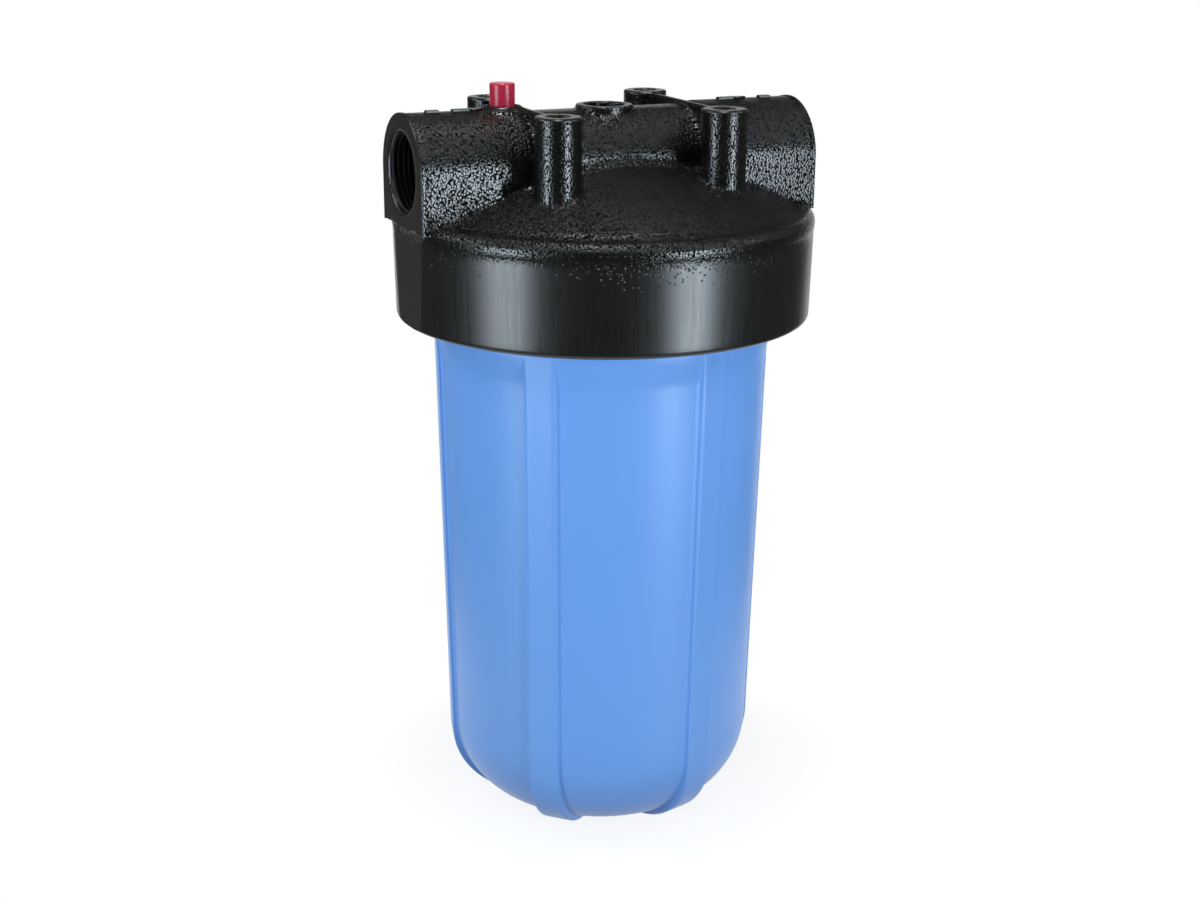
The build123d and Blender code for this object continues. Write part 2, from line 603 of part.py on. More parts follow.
def cartridge_core(low, high):
    """The perforated tube that the pleats are wrapped round."""
    tube = ring(CORE_R, CORE_R - CORE_WALL, low, high)
    pitch = (high - low) / CORE_SLOT_ROWS
    slot = Box(4 * CORE_WALL, CORE_SLOT_WIDTH, pitch - CORE_SLOT_BRIDGE)
    slots = []
    for column in range(CORE_SLOT_COLUMNS):
        for row in range(CORE_SLOT_ROWS):
            window = place(slot, CORE_R - CORE_WALL / 2, 0, low + (row + 0.5) * pitch)
            slots.append(Rot(0, 0, column * 360 / CORE_SLOT_COLUMNS) * window)
    return tube - slots


def pleats(low, high):
    """The folded filter sheet, as one closed zigzag wall."""
    outer, inner = [], []
    step = pi / PLEAT_COUNT
    for fold in range(2 * PLEAT_COUNT):
        angle = fold * step
        tip = fold % 2 == 0
        outer_r = PLEAT_OUTER_R if tip else PLEAT_INNER_R + 2 * PLEAT_THICK
        inner_r = PLEAT_OUTER_R - 4 * PLEAT_THICK if tip else PLEAT_INNER_R
        outer.append((outer_r * cos(angle), outer_r * sin(angle)))
        inner.append((inner_r * cos(angle), inner_r * sin(angle)))
    face = make_face(Polyline(*outer, close=True)) - make_face(Polyline(*inner, close=True))
    return place(extrude(face, high - low), 0, 0, low)


def cartridge():
    """The six pieces of the filter cartridge."""
    low = SEAT_Z + GASKET_THICK
    high = COLLAR_FOOT_Z - GASKET_THICK
    inside = (low + END_CAP_THICK, high - END_CAP_THICK)
    return {
        "cartridge_bottom_gasket": cartridge_gasket(SEAT_Z),
        "cartridge_bottom_cap": end_cap(low, 1),
        "cartridge_core": cartridge_core(*inside),
        "cartridge_pleats": pleats(*inside),
        "cartridge_top_cap": end_cap(high, -1),
        "cartridge_top_gasket": cartridge_gasket(high),
    }


def main():
    """Writes every piece to its own file."""
    pieces = {
        "head": cap(),
        "sump": bowl(),
        "sump_o_ring": bowl_seal(),
        "relief_button": relief_button(),
        "relief_stem": relief_stem(),
        "relief_seal": relief_seal(),
        "relief_ring": relief_ring(),
        "relief_spring": relief_spring(),
    }
    pieces.update(cartridge())
    os.makedirs("parts", exist_ok=True)
    for name, shape in pieces.items():
        export_step(shape, "parts/" + name + ".step")


if __name__ == "__main__":
    main()
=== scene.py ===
"""The looks of a whole-house water filter housing: a grained black cap with two
ports, a red relief button and a ribbed blue bowl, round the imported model.

Sizes are written in millimetres and the meshes are made in metres."""

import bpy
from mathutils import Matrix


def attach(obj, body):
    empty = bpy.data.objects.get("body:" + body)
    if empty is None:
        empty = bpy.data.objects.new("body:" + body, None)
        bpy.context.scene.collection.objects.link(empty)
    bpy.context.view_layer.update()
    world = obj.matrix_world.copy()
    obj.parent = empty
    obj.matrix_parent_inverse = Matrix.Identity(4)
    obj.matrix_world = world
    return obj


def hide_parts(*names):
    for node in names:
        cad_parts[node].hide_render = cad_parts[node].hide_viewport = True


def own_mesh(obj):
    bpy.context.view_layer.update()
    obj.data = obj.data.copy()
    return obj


bl_info = {
    "name": "Water filter housing",
    "version": (1, 0, 0),
    "blender": (4, 5, 0),
    "location": "View3D > Sidebar > Filter Housing",
    "description": "Builds the visible pieces of a water filter housing round its packed model",
    "category": "Object",
}

from math import acos, asin, atan2, cos, hypot, pi, radians, sin, sqrt

import bmesh
import bpy
import numpy as np
from bpy.props import FloatProperty, FloatVectorProperty, PointerProperty
from mathutils import Matrix, Vector

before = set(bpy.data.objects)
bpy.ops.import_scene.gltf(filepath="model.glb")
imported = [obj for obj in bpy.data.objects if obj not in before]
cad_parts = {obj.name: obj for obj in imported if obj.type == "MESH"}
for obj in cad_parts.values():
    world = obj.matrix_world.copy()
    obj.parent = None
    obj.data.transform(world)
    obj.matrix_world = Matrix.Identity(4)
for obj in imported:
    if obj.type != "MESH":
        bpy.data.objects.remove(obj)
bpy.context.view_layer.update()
MM = 0.001

# Heights of the cap and the bowl
CAP_FOOT_Z = 232.1
SEAL_FACE_Z = 268.1
CAP_RIM_Z = 274.3
BLOCK_FOOT_Z = 275.2
PORT_AXIS_Z = 298.0
POST_TOP_Z = 323.0
WEB_TOP_Z = 322.4
MID_BOSS_TOP_Z = 322.3
MID_FLARE_Z = 318.9
RELIEF_BOSS_TOP_Z = 324.3
NECK_TOP_Z = 267.5
FLARE_Z = 229.5
PANEL_TOP_Z = 227.5

# Widths of the cap
FACE_X = 92.0
RIM_R = 92.0
SKIRT_TOP_Z = 271.2
SKIRT_TOP_R = 91.6
SKIRT_FOOT_R = 90.8
SKIRT_FLAT_X = 89.7
SKIRT_BORE_R = 84.3
CAVITY_R = 71.0
TUBE_R = 23.0
PORT_R = 24.5
BODY_R = 24.15
BAND = 1.8
PORT_HOLE_R = 16.7
PORT_HOLE_DEPTH = 26.0
PASSAGE_R = 13.0
DUCT_R = 17.2
COLLAR_R = 20.0
ROUND_END_X = 42.0
BLOCK_END_X = 54.0
POST_AT = 38.0
POST_R = 9.75
POST_HOLE_R = 4.5
POST_HOLE_DEPTH = 24.0
MID_BOSS_R = 12.35
MID_FLARE_R = 15.2
MID_HOLE_R = 8.5
MID_HOLE_DEPTH = 7.0
RELIEF_X = -47.0
RELIEF_BOSS_R = 9.3
RELIEF_FLARE_R = 12.4
RELIEF_WELL_R = 6.63
STEM_WELL_R = 5.8
RING_FOOT_Z = 321.9
STEM_WELL_Z = 315.2
SPRING_FOOT_Z = 315.5
SPRING_TOP_Z = 328.5

# Fillets, rounded edges and slopes of the cap
TUBE_FILLET = 3.0
PORT_FILLET = 0.9
BLOCK_EDGE = 3.5
BARREL_EDGE = 1.1
POST_FILLET = 1.2
POST_EDGE = 0.9
FINE_EDGE = 0.5
WEB_HALF = 1.5
WEB_SHORT = 4.0
WEB_FILLET = 1.1
MID_FOOT_Z = 290.0
MID_EDGE = 0.6
RELIEF_FOOT_Z = 300.0
RELIEF_SLOPE_Z = 321.4
RELIEF_EDGE = 1.1
RELIEF_FILLET = 1.4
SLANT = 0.707

# The bowl
BOWL_TOP_R = 74.8
BOWL_TAPER = 0.0225
NECK_R = 80.9
NECK_BORE_R = 72.5
FOOT_LIFT = 3.1
FOOT_EDGE_R = 22.3
PANEL_DEPTH = 1.8
ROOT_ROUNDING = 0.7
PANEL_RAMP = 12.0
PANEL_CORNER = (35.5, 37.7)
RIB_CORNER = (40.0, 36.0)
RIB_WIDTH = 13.5
RIB_FIRST = 45.0
RIB_COUNT = 6
SEAT_Z = 27.5

# Most triangles that the cap's upper part is thinned to
CAP_TRIANGLES = 192000


# Distances and lines

def join(a, b, fillet):
    """Distance to two solids together, with a fillet where they meet."""
    inner = np.hypot(np.maximum(fillet - a, 0), np.maximum(fillet - b, 0))
    return np.maximum(fillet, np.minimum(a, b)) - inner


def meet(a, b, edge):
    """Distance to what two solids share, with a rounded edge."""
    return -join(-a, -b, edge)


def cut(a, b, edge):
    """Distance to the first solid with the second taken away."""
    return meet(a, -b, edge)


def arc(start, middle, end, count=10):
    """Points of the arc through three points, without the last."""
    (ax, ay), (bx, by), (cx, cy) = start, middle, end
    twice = 2 * (ax * (by - cy) + bx * (cy - ay) + cx * (ay - by))
    a2, b2, c2 = ax * ax + ay * ay, bx * bx + by * by, cx * cx + cy * cy
    ox = (a2 * (by - cy) + b2 * (cy - ay) + c2 * (ay - by)) / twice
    oy = (a2 * (cx - bx) + b2 * (ax - cx) + c2 * (bx - ax)) / twice
    radius = hypot(ax - ox, ay - oy)
    first = atan2(ay - oy, ax - ox)
    sweep = atan2(cy - oy, cx - ox) - first
    sweep = (sweep + pi) % (2 * pi) - pi
    turns = [first + sweep * i / count for i in range(count)]
    return [(ox + radius * cos(t), oy + radius * sin(t)) for t in turns]


def softened(points, steps=4):
    """A line of (r, z, rounding) corners as (r, z) points with small arcs at the corners."""
    line = []
    for i, (x, y, rounding) in enumerate(points):
        if not rounding or i in (0, len(points) - 1):
            line.append((x, y))
            continue
        here = Vector((x, y))
        back = (Vector(points[i - 1][:2]) - here).normalized()
        on = (Vector(points[i + 1][:2]) - here).normalized()
        half = back.angle(on) / 2
        reach = rounding / max(np.tan(half), 0.05)
        ends = (Vector(points[k][:2]) for k in (i - 1, i + 1))
        reach = min(reach, 0.49 * min((end - here).length for end in ends))
        start, end = here + back * reach, here + on * reach
        for k in range(steps + 1):
            t = k / steps
            point = start.lerp(here, t).lerp(here.lerp(end, t), t)
            line.append((point.x, point.y))
    return line


def polygon_distance(outline, r, z):
    """Signed distance from points to a closed outline of the (r, z) plane."""
    corners = np.array(outline, np.float64)
    ahead = np.roll(corners, -1, axis=0)
    nearest = np.full(r.shape, 1e9)
    inside = np.zeros(r.shape, bool)
    for (ax, ay), (bx, by) in zip(corners, ahead):
        ex, ey = bx - ax, by - ay
        wx, wy = r - ax, z - ay
        t = np.clip((wx * ex + wy * ey) / max(ex * ex + ey * ey, 1e-12), 0, 1)
        nearest = np.minimum(nearest, (wx - ex * t) ** 2 + (wy - ey * t) ** 2)
        if ay != by:
            crosses = ((ay <= z) != (by <= z)) & (r < ax + (z - ay) * ex / ey)
            inside ^= crosses
    return np.sqrt(nearest) * np.where(inside, -1, 1)


class Turned:
    """Signed distance to a turned solid, read from a table of its half section."""

    def __init__(self, outline, r_end, z_low, z_high, step=0.25):
        self.step, self.z_low = step, z_low
        self.r = np.arange(-2, r_end, step)
        self.z = np.arange(z_low, z_high, step)
        mirror = [(-r, z) for r, z in reversed(outline)]
        grid_r, grid_z = np.meshgrid(self.r, self.z, indexing="ij")
        self.table = polygon_distance(outline + mirror, grid_r, grid_z)

    def __call__(self, r, z):
        u = np.clip((r - self.r[0]) / self.step, 0, len(self.r) - 1.001)
        v = np.clip((z - self.z_low) / self.step, 0, len(self.z) - 1.001)
        i, j = u.astype(int), v.astype(int)
        u, v = u - i, v - j
        t = self.table
        low = t[i, j] * (1 - u) + t[i + 1, j] * u
        high = t[i, j + 1] * (1 - u) + t[i + 1, j + 1] * u
        return low * (1 - v) + high * v


def surface_net(distance, low, high, step):
    """Points and four-sided faces of the surface where a distance function is zero."""
    axes = [np.arange(a, b + step, step) for a, b in zip(low, high)]
    shape = [len(a) for a in axes]
    field = np.empty(shape, np.float32)
    for i in range(0, shape[0], 16):
        grid = np.meshgrid(axes[0][i:i + 16], axes[1], axes[2], indexing="ij")
        field[i:i + 16] = distance(*grid)
    inside = field < 0
    cells = [n - 1 for n in shape]
    total = np.zeros((int(np.prod(cells)), 3))
    count = np.zeros(len(total))
    edges = []
    for axis in range(3):
        near = [slice(None)] * 3
        far = [slice(None)] * 3
        near[axis], far[axis] = slice(0, -1), slice(1, None)
        at = np.argwhere(inside[tuple(near)] != inside[tuple(far)])
        after = at.copy()
        after[:, axis] += 1
        f0, f1 = field[tuple(at.T)], field[tuple(after.T)]
        point = at.astype(float)
        point[:, axis] += f0 / (f0 - f1)
        b, c = (axis + 1) % 3, (axis + 2) % 3
        keep = (at[:, b] > 0) & (at[:, c] > 0) & (at[:, b] < cells[b]) & (at[:, c] < cells[c])
        at, point, leaving = at[keep], point[keep], (f0 < 0)[keep]
        corners = []
        for db, dc in ((-1, -1), (0, -1), (0, 0), (-1, 0)):
            cell = at.copy()
            cell[:, b] += db
            cell[:, c] += dc
            index = np.ravel_multi_index(cell.T, cells)
            corners.append(index)
            for k in range(3):
                total[:, k] += np.bincount(index, point[:, k], len(total))
            count += np.bincount(index, None, len(total))
        corners = np.stack(corners, 1)
        corners[~leaving] = corners[~leaving][:, ::-1]
        edges.append(corners)
    quads = np.concatenate(edges)
    used = np.unique(quads)
    place = np.zeros(len(total), int)
    place[used] = np.arange(len(used))
    points = total[used] / count[used][:, None] * step + np.array([a[0] for a in axes])
    return points, place[quads]


def settle(points, distance, rounds=4, reach=0.7):
    """The points moved on to the surface where the distance function is zero."""
    small = 0.02
    for _ in range(rounds):
        slope = np.empty_like(points)
        for k in range(3):
            shift = np.zeros(3)
            shift[k] = small
            slope[:, k] = (distance(*(points + shift).T) - distance(*(points - shift).T)) / (2 * small)
        value = distance(*points.T)
        size = np.maximum((slope ** 2).sum(1), 0.05)
        move = slope * (value / size)[:, None]
        length = np.maximum(np.linalg.norm(move, axis=1), 1e-9)
        points = points - move * np.minimum(1, reach / length)[:, None]
    return points


# Meshes

def new_mesh(name, points, faces):
    """A mesh in metres from points in millimetres."""
    mesh = bpy.data.meshes.new(name)
    faces = [tuple(int(i) for i in face) for face in faces]
    mesh.from_pydata((np.asarray(points, np.float64) * MM).tolist(), [], faces)
    mesh.validate()
    mesh.update()
    return mesh


def new_object(name, data):
    """An object in the scene for a mesh, a lamp or a camera."""
    item = bpy.data.objects.new(name, data)
    bpy.context.scene.collection.objects.link(item)
    return item


def new_piece(name, points, faces, material):
    """A smooth piece in the row frame from points in millimetres."""
    piece = new_object(name, new_mesh(name, points, faces))
    piece.data.materials.append(material)
    piece.data.shade_smooth()
    return piece


def finished(piece, body, slot, *nodes):
    """Puts a piece under its body and hides the CAD nodes it stands for; the slot argument is not used."""
    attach(piece, body)
    if nodes:
        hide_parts(*nodes)


def finish_nodes(material, *nodes):
    """Gives carried-over nodes their finish."""
    for node in nodes:
        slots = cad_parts[node].data.materials
        slots.clear()
        slots.append(material)


def sharp_above(piece, angle):
    """Smooth shading that breaks at edges sharper than an angle in degrees."""
    piece.data.set_sharp_from_angle(angle=radians(angle))


def ringed(rings, closed=True):
    """Points and four-sided faces of the surface through rings of points."""
    faces = []
    count = len(rings[0])
    for i in range(len(rings) - 1):
        for j in range(count if closed else count - 1):
            k = (j + 1) % count
            faces.append((i * count + j, i * count + k, (i + 1) * count + k, (i + 1) * count + j))
    return [point for ring in rings for point in ring], faces


def turned_piece(name, line, material, x=0.0, sides=96, closed=False):
    """A piece of revolution from (r, z) points that run up its outside, with its axis at x."""
    points, faces, rings = [], [], []
    for r, z in line:
        if r < 1e-6:
            rings.append([len(points)] * sides)
            points.append((x, 0, z))
            continue
        rings.append(list(range(len(points), len(points) + sides)))
        for j in range(sides):
            turn = 2 * pi * j / sides
            points.append((x + r * cos(turn), r * sin(turn), z))
    if closed:
        rings.append(rings[0])
    for low, high in zip(rings, rings[1:]):
        for j in range(sides):
            k = (j + 1) % sides
            face = list(dict.fromkeys((low[j], low[k], high[k], high[j])))
            if len(face) > 2:
                faces.append(face)
    piece = new_piece(name, points, faces, material)
    sharp_above(piece, 35)
    return piece


def solid_result(piece):
    """The piece with its modifiers' result as its plain mesh."""
    graph = bpy.context.evaluated_depsgraph_get()
    mesh = bpy.data.meshes.new_from_object(piece.evaluated_get(graph))
    piece.modifiers.clear()
    old = piece.data
    piece.data = mesh
    bpy.data.meshes.remove(old)
    return piece


def weld(piece, angle, distance=1e-6):
    """Merges points that share a place, turns the faces outwards and marks the sharp edges."""
    work = bmesh.new()
    work.from_mesh(piece.data)
    bmesh.ops.remove_doubles(work, verts=work.verts, dist=distance)
    bmesh.ops.recalc_face_normals(work, faces=work.faces)
    work.to_mesh(piece.data)
    work.free()
    piece.data.shade_smooth()
    sharp_above(piece, angle)
    return piece


# Nodes

class Nodes:
    """Shorthand for the nodes of one tree, of geometry or of a shader."""

    def __init__(self, tree, place=None):
        self.tree = tree
        self.place = place

    def link(self, value, socket):
        if isinstance(value, (int, float, tuple)):
            socket.default_value = value
        elif value is not None:
            self.tree.links.new(value, socket)

    def add(self, kind, inputs=None, **settings):
        """A new node with its settings, and its inputs by name or number."""
        node = self.tree.nodes.new(kind)
        for name, value in settings.items():
            setattr(node, name, value)
        for name, value in (inputs or {}).items():
            self.link(value, node.inputs[name])
        return node

    def maths(self, operation, a, b=None, clamp=False):
        return self.add("ShaderNodeMath", {0: a, 1: b}, operation=operation, use_clamp=clamp).outputs[0]

    def plus(self, a, b):
        return self.maths("ADD", a, b)

    def minus(self, a, b):
        return self.maths("SUBTRACT", a, b)

    def times(self, first, *others):
        for value in others:
            first = self.maths("MULTIPLY", first, value)
        return first

    def length(self, a, b):
        return self.maths("SQRT", self.plus(self.times(a, a), self.times(b, b)))

    def split(self, vector):
        return self.add("ShaderNodeSeparateXYZ", {0: vector}).outputs

    def step(self, value, low, high, to_low=0.0, to_high=1.0):
        """A smooth change of a value between two limits."""
        limits = {"Value": value, "From Min": low, "From Max": high, "To Min": to_low, "To Max": to_high}
        return self.add("ShaderNodeMapRange", limits, interpolation_type="SMOOTHSTEP").outputs[0]

    def noise(self, scale, detail=2.0, rough=0.5, stretch=None, seed=0.0):
        """Cloudy noise, drawn out along the axes where the stretch is small."""
        place = self.place
        if stretch:
            place = self.add("ShaderNodeMapping", {"Scale": stretch, "Vector": place}).outputs[0]
        values = {"W": seed, "Scale": scale, "Detail": detail, "Roughness": rough, "Vector": place}
        return self.add("ShaderNodeTexNoise", values, noise_dimensions="4D").outputs["Fac"]

    def cells(self, scale, where=None):
        """Distance to the nearest of many random points, and that point's own random colour."""
        node = self.add("ShaderNodeTexVoronoi", {"Scale": scale, "Vector": where or self.place})
        return node.outputs["Distance"], node.outputs["Color"]

    def blend(self, amount, low, high):
        """A colour between two colours."""
        node = self.add("ShaderNodeMix", {0: amount}, data_type="RGBA")
        for socket, value in zip([i for i in node.inputs if i.type == "RGBA"], (low, high)):
            self.link((*value, 1) if isinstance(value, tuple) else value, socket)
        return next(o for o in node.outputs if o.type == "RGBA")

    def bump(self, height, distance, strength=1.0, after=None):
        values = {"Height": height, "Distance": distance, "Strength": strength, "Normal": after}
        return self.add("ShaderNodeBump", values).outputs[0]

    def effect(self, tree, **values):
        """A shared effect placed in this tree with its own values."""
        return self.add("ShaderNodeGroup", {"Place": self.place, **values}, node_tree=tree).outputs[0]


def node_tree(name, part, numbers):
    """An empty Geometry Nodes tree with a part, numbers and a material as its inputs."""
    tree = bpy.data.node_groups.new(name, "GeometryNodeTree")
    tree.interface.new_socket("Geometry", in_out="OUTPUT", socket_type="NodeSocketGeometry")
    tree.interface.new_socket(part, in_out="INPUT", socket_type="NodeSocketGeometry")
    for label, value in numbers.items():
        kind = "NodeSocketInt" if isinstance(value, int) else "NodeSocketFloat"
        tree.interface.new_socket(label, in_out="INPUT", socket_type=kind).default_value = value
    tree.interface.new_socket("Material", in_out="INPUT", socket_type="NodeSocketMaterial")
    return Nodes(tree), tree.nodes.new("NodeGroupInput").outputs


def painted(n, shape, values):
    """Ends a tree: its shape with the material set."""
    paint = n.add("GeometryNodeSetMaterial", {"Geometry": shape.outputs[0], "Material": values["Material"]})
    n.add("NodeGroupOutput", {"Geometry": paint.outputs[0]})
    return n.tree


def around_tree():
    """Repeats one sector round an upright axis and welds the joints."""
    n, values = node_tree("Repeat around", "Sector", {"Count": 6})
    line = n.add("GeometryNodeMeshLine", {"Count": values["Count"], "Offset": (0, 0, 0)}, mode="OFFSET")
    index = n.add("GeometryNodeInputIndex")
    turn = n.maths("DIVIDE", n.times(index.outputs[0], 2 * pi), values["Count"])
    angles = n.add("ShaderNodeCombineXYZ", {"Z": turn})
    scatter = n.add("GeometryNodeInstanceOnPoints", {
        "Points": line.outputs["Mesh"], "Instance": values["Sector"], "Rotation": angles.outputs[0]})
    real = n.add("GeometryNodeRealizeInstances", {"Geometry": scatter.outputs["Instances"]})
    welded = n.add("GeometryNodeMergeByDistance", {"Geometry": real.outputs[0], "Distance": 2e-6})
    return painted(n, welded, values)


def spiral(n, values, height):
    """The line that winds up an upright axis."""
    return n.add("GeometryNodeCurveSpiral", {
        "Start Radius": values["Radius"], "End Radius": values["Radius"], "Rotations": values["Turns"],
        "Resolution": values["Steps"], "Height": height})


def swept(n, line, section):
    """A section drawn along a line, with closed ends."""
    return n.add("GeometryNodeCurveToMesh", {
        "Curve": line.outputs[0], "Profile Curve": section.outputs[0], "Fill Caps": True})


def ridge_tree():
    """A screw thread's ridge that winds up an upright axis and runs out at both ends."""
    n, values = node_tree("Screw ridge", "Object", {
        "Radius": 0.08, "Pitch": 0.006, "Turns": 4.0, "Foot": 0.003, "Tip": 0.0015, "Depth": 0.003,
        "Run-out": 0.06, "Facing": pi / 2, "Steps": 96})
    coil = spiral(n, values, n.times(values["Pitch"], values["Turns"]))
    upright = n.add("GeometryNodeSetCurveNormal", {"Curve": coil.outputs[0]}, mode="Z_UP")
    along = n.add("GeometryNodeSplineParameter").outputs["Factor"]
    nearest = n.maths("MINIMUM", along, n.minus(1.0, along))
    grown = n.maths("MINIMUM", n.maths("DIVIDE", nearest, values["Run-out"]), 1.0)
    grown = n.maths("MAXIMUM", grown, 0.02)
    sized = n.add("GeometryNodeSetCurveRadius", {"Curve": upright.outputs[0], "Radius": grown})
    section = n.add("GeometryNodeCurvePrimitiveQuadrilateral", {
        "Bottom Width": values["Foot"], "Top Width": values["Tip"], "Height": values["Depth"], "Offset": 0},
        mode="TRAPEZOID")
    facing = n.add("ShaderNodeCombineXYZ", {"Z": values["Facing"]})
    faced = n.add("GeometryNodeTransform", {"Geometry": section.outputs[0], "Rotation": facing.outputs[0]})
    sweep = swept(n, sized, faced)
    if "Scale" in sweep.inputs:
        n.link(n.add("GeometryNodeInputRadius").outputs[0], sweep.inputs["Scale"])
    return painted(n, n.add("GeometryNodeRealizeInstances", {"Geometry": sweep.outputs[0]}), values)


def coil_tree():
    """A round wire wound up an upright axis."""
    n, values = node_tree("Coil spring", "Object", {
        "Radius": 0.0035, "Height": 0.012, "Turns": 5.0, "Wire": 0.0004, "Steps": 40})
    section = n.add("GeometryNodeCurvePrimitiveCircle", {"Resolution": 12, "Radius": values["Wire"]})
    sweep = swept(n, spiral(n, values, values["Height"]), section)
    return painted(n, n.add("GeometryNodeRealizeInstances", {"Geometry": sweep.outputs[0]}), values)


def tree_piece(name, tree, values, mesh=None):
    """An object whose mesh is what a Geometry Nodes tree makes from the named inputs."""
    piece = new_object(name, mesh or bpy.data.meshes.new(name))
    modifier = piece.modifiers.new("Shape", "NODES")
    modifier.node_group = tree
    for item in tree.interface.items_tree:
        if item.item_type == "SOCKET" and item.in_out == "INPUT" and item.name in values:
            modifier[item.identifier] = values[item.name]
    return solid_result(piece)


# The cap

def cap_outline():
    """Half section of the dome and rim, from the middle out, closed at the bottom."""
    knots = [
        (0, 301.2), (15, 300.18), (30, 297.8), (55.25, 290.9), (80.5, 280.8), (82.7, 279.4),
        (84.3, 278.8), (85.9, 278.7), (87.5, 278.9), (90.7, 277.5), (RIM_R, CAP_RIM_Z)]
    line = []
    for i in range(0, len(knots) - 1, 2):
        line += arc(*knots[i:i + 3])
    return line + [(RIM_R, CAP_RIM_Z), (91.9, 273.9), (91.3, 271.8), (91.3, 258.0), (0, 258.0)]


def cavity_outline():
    """Half section of the space under the dome."""
    return [(0, 293.5), (30, 291.4), (68, 277.6), (CAVITY_R, 275.0), (CAVITY_R, 258.0), (0, 258.0)]


class CapForm:
    """Signed distance, in millimetres, to the upper part of the cap."""

    def __init__(self):
        self.dome = Turned(cap_outline(), 134, 256, 330)
        self.cavity = Turned(cavity_outline(), 134, 256, 330)

    def port(self, y, z, ax, from_axis):
        """One port with its flanks and its shoulder."""
        upright = np.where(z < PORT_AXIS_Z, np.abs(y), from_axis)
        block = meet(upright - BODY_R, BLOCK_END_X - ax, BLOCK_EDGE)
        barrel = meet(from_axis - BODY_R, ROUND_END_X - ax, BARREL_EDGE)
        shape = meet(np.minimum(block, barrel), BLOCK_FOOT_Z - z, FINE_EDGE)
        return np.maximum(shape, ax - FACE_X + 0.03)

    def __call__(self, x, y, z):
        ax, ay = np.abs(x), np.abs(y)
        r = np.hypot(x, y)
        from_axis = np.hypot(y, z - PORT_AXIS_Z)
        dome = self.dome(r, z)
        dome = np.maximum(dome, np.minimum(ax - SKIRT_FLAT_X + 0.06, BLOCK_FOOT_Z - z))
        tube = np.maximum(from_axis - TUBE_R, ax - ROUND_END_X - 3)
        shape = join(dome, tube, TUBE_FILLET)
        shape = join(shape, self.port(y, z, ax, from_axis), PORT_FILLET)
        from_post = np.hypot(ax - POST_AT, ay - POST_AT)
        hole = np.maximum(from_post - POST_HOLE_R, POST_TOP_Z - POST_HOLE_DEPTH - z)
        post = cut(meet(from_post - POST_R, z - POST_TOP_Z, POST_EDGE), hole, FINE_EDGE)
        web = meet(np.abs(ax - POST_AT) - WEB_HALF, z - WEB_TOP_Z, POST_EDGE)
        web = np.maximum(web, ay - POST_AT + WEB_SHORT)
        shape = join(shape, web, WEB_FILLET)
        shape = join(shape, post, POST_FILLET)
        shape = cut(self.bosses(shape, x, y, z), hole, FINE_EDGE)
        return self.hollows(shape, x, y, z, r, from_axis)

    def bosses(self, shape, x, y, z):
        """The plugged boss in the middle and the crater round the relief button."""
        off = np.hypot(x, y)
        flare = (off - MID_BOSS_R) * 0.75 + (z - MID_FLARE_Z) * 0.66
        boss = np.minimum(off - MID_BOSS_R, np.maximum(flare, off - MID_FLARE_R))
        boss = meet(np.maximum(boss, MID_FOOT_Z - z), z - MID_BOSS_TOP_Z, MID_EDGE)
        shape = join(shape, boss, POST_FILLET)
        shape = cut(shape, np.maximum(off - MID_HOLE_R, MID_BOSS_TOP_Z - MID_HOLE_DEPTH - z), MID_EDGE)
        off = np.hypot(x - RELIEF_X, y)
        slope = (off - RELIEF_BOSS_R) * 0.83 + (z - RELIEF_SLOPE_Z) * 0.55
        skirt = off - RELIEF_BOSS_R - np.maximum(RING_FOOT_Z - z, 0) * 3
        crater = np.maximum(np.maximum(slope, off - RELIEF_FLARE_R), skirt)
        crater = np.maximum(meet(crater, z - RELIEF_BOSS_TOP_Z, RELIEF_EDGE), RELIEF_FOOT_Z - z)
        shape = join(shape, crater, RELIEF_FILLET)
        throat = np.maximum(off - RELIEF_WELL_R, RING_FOOT_Z - z)
        funnel = (off - RELIEF_WELL_R - 0.9) * SLANT - (z - RELIEF_BOSS_TOP_Z) * SLANT
        shape = cut(shape, np.minimum(throat, np.maximum(funnel, RING_FOOT_Z - z)), 0.3)
        return np.maximum(shape, -np.maximum(off - STEM_WELL_R, STEM_WELL_Z - z))

    def hollows(self, shape, x, y, z, r, from_axis):
        """The water ways and the space under the dome."""
        ax = np.abs(x)
        space = np.maximum(self.cavity(r, z), DUCT_R - from_axis)
        space = np.maximum(space, COLLAR_R - r)
        shape = np.maximum(shape, -space)
        bore = np.maximum(from_axis - PORT_HOLE_R, FACE_X - PORT_HOLE_DEPTH - ax)
        mouth = (from_axis - PORT_HOLE_R) * SLANT - (ax - FACE_X + 1.0) * SLANT
        bore = np.minimum(bore, np.maximum(mouth, FACE_X - 2.5 - ax))
        shape = cut(shape, bore, 0.25)
        ways = np.maximum(from_axis - PASSAGE_R, np.where(x < 0, x + 22.2, 0 - x))
        ways = np.minimum(ways, np.sqrt(x * x + from_axis ** 2) - PASSAGE_R)
        ways = np.minimum(ways, np.maximum(r - PASSAGE_R, z - PORT_AXIS_Z))
        ways = np.minimum(ways, np.maximum(np.hypot(x + 45, y) - 10, z - PORT_AXIS_Z))
        shape = np.maximum(shape, -ways)
        return np.maximum(shape, SEAL_FACE_Z - z)


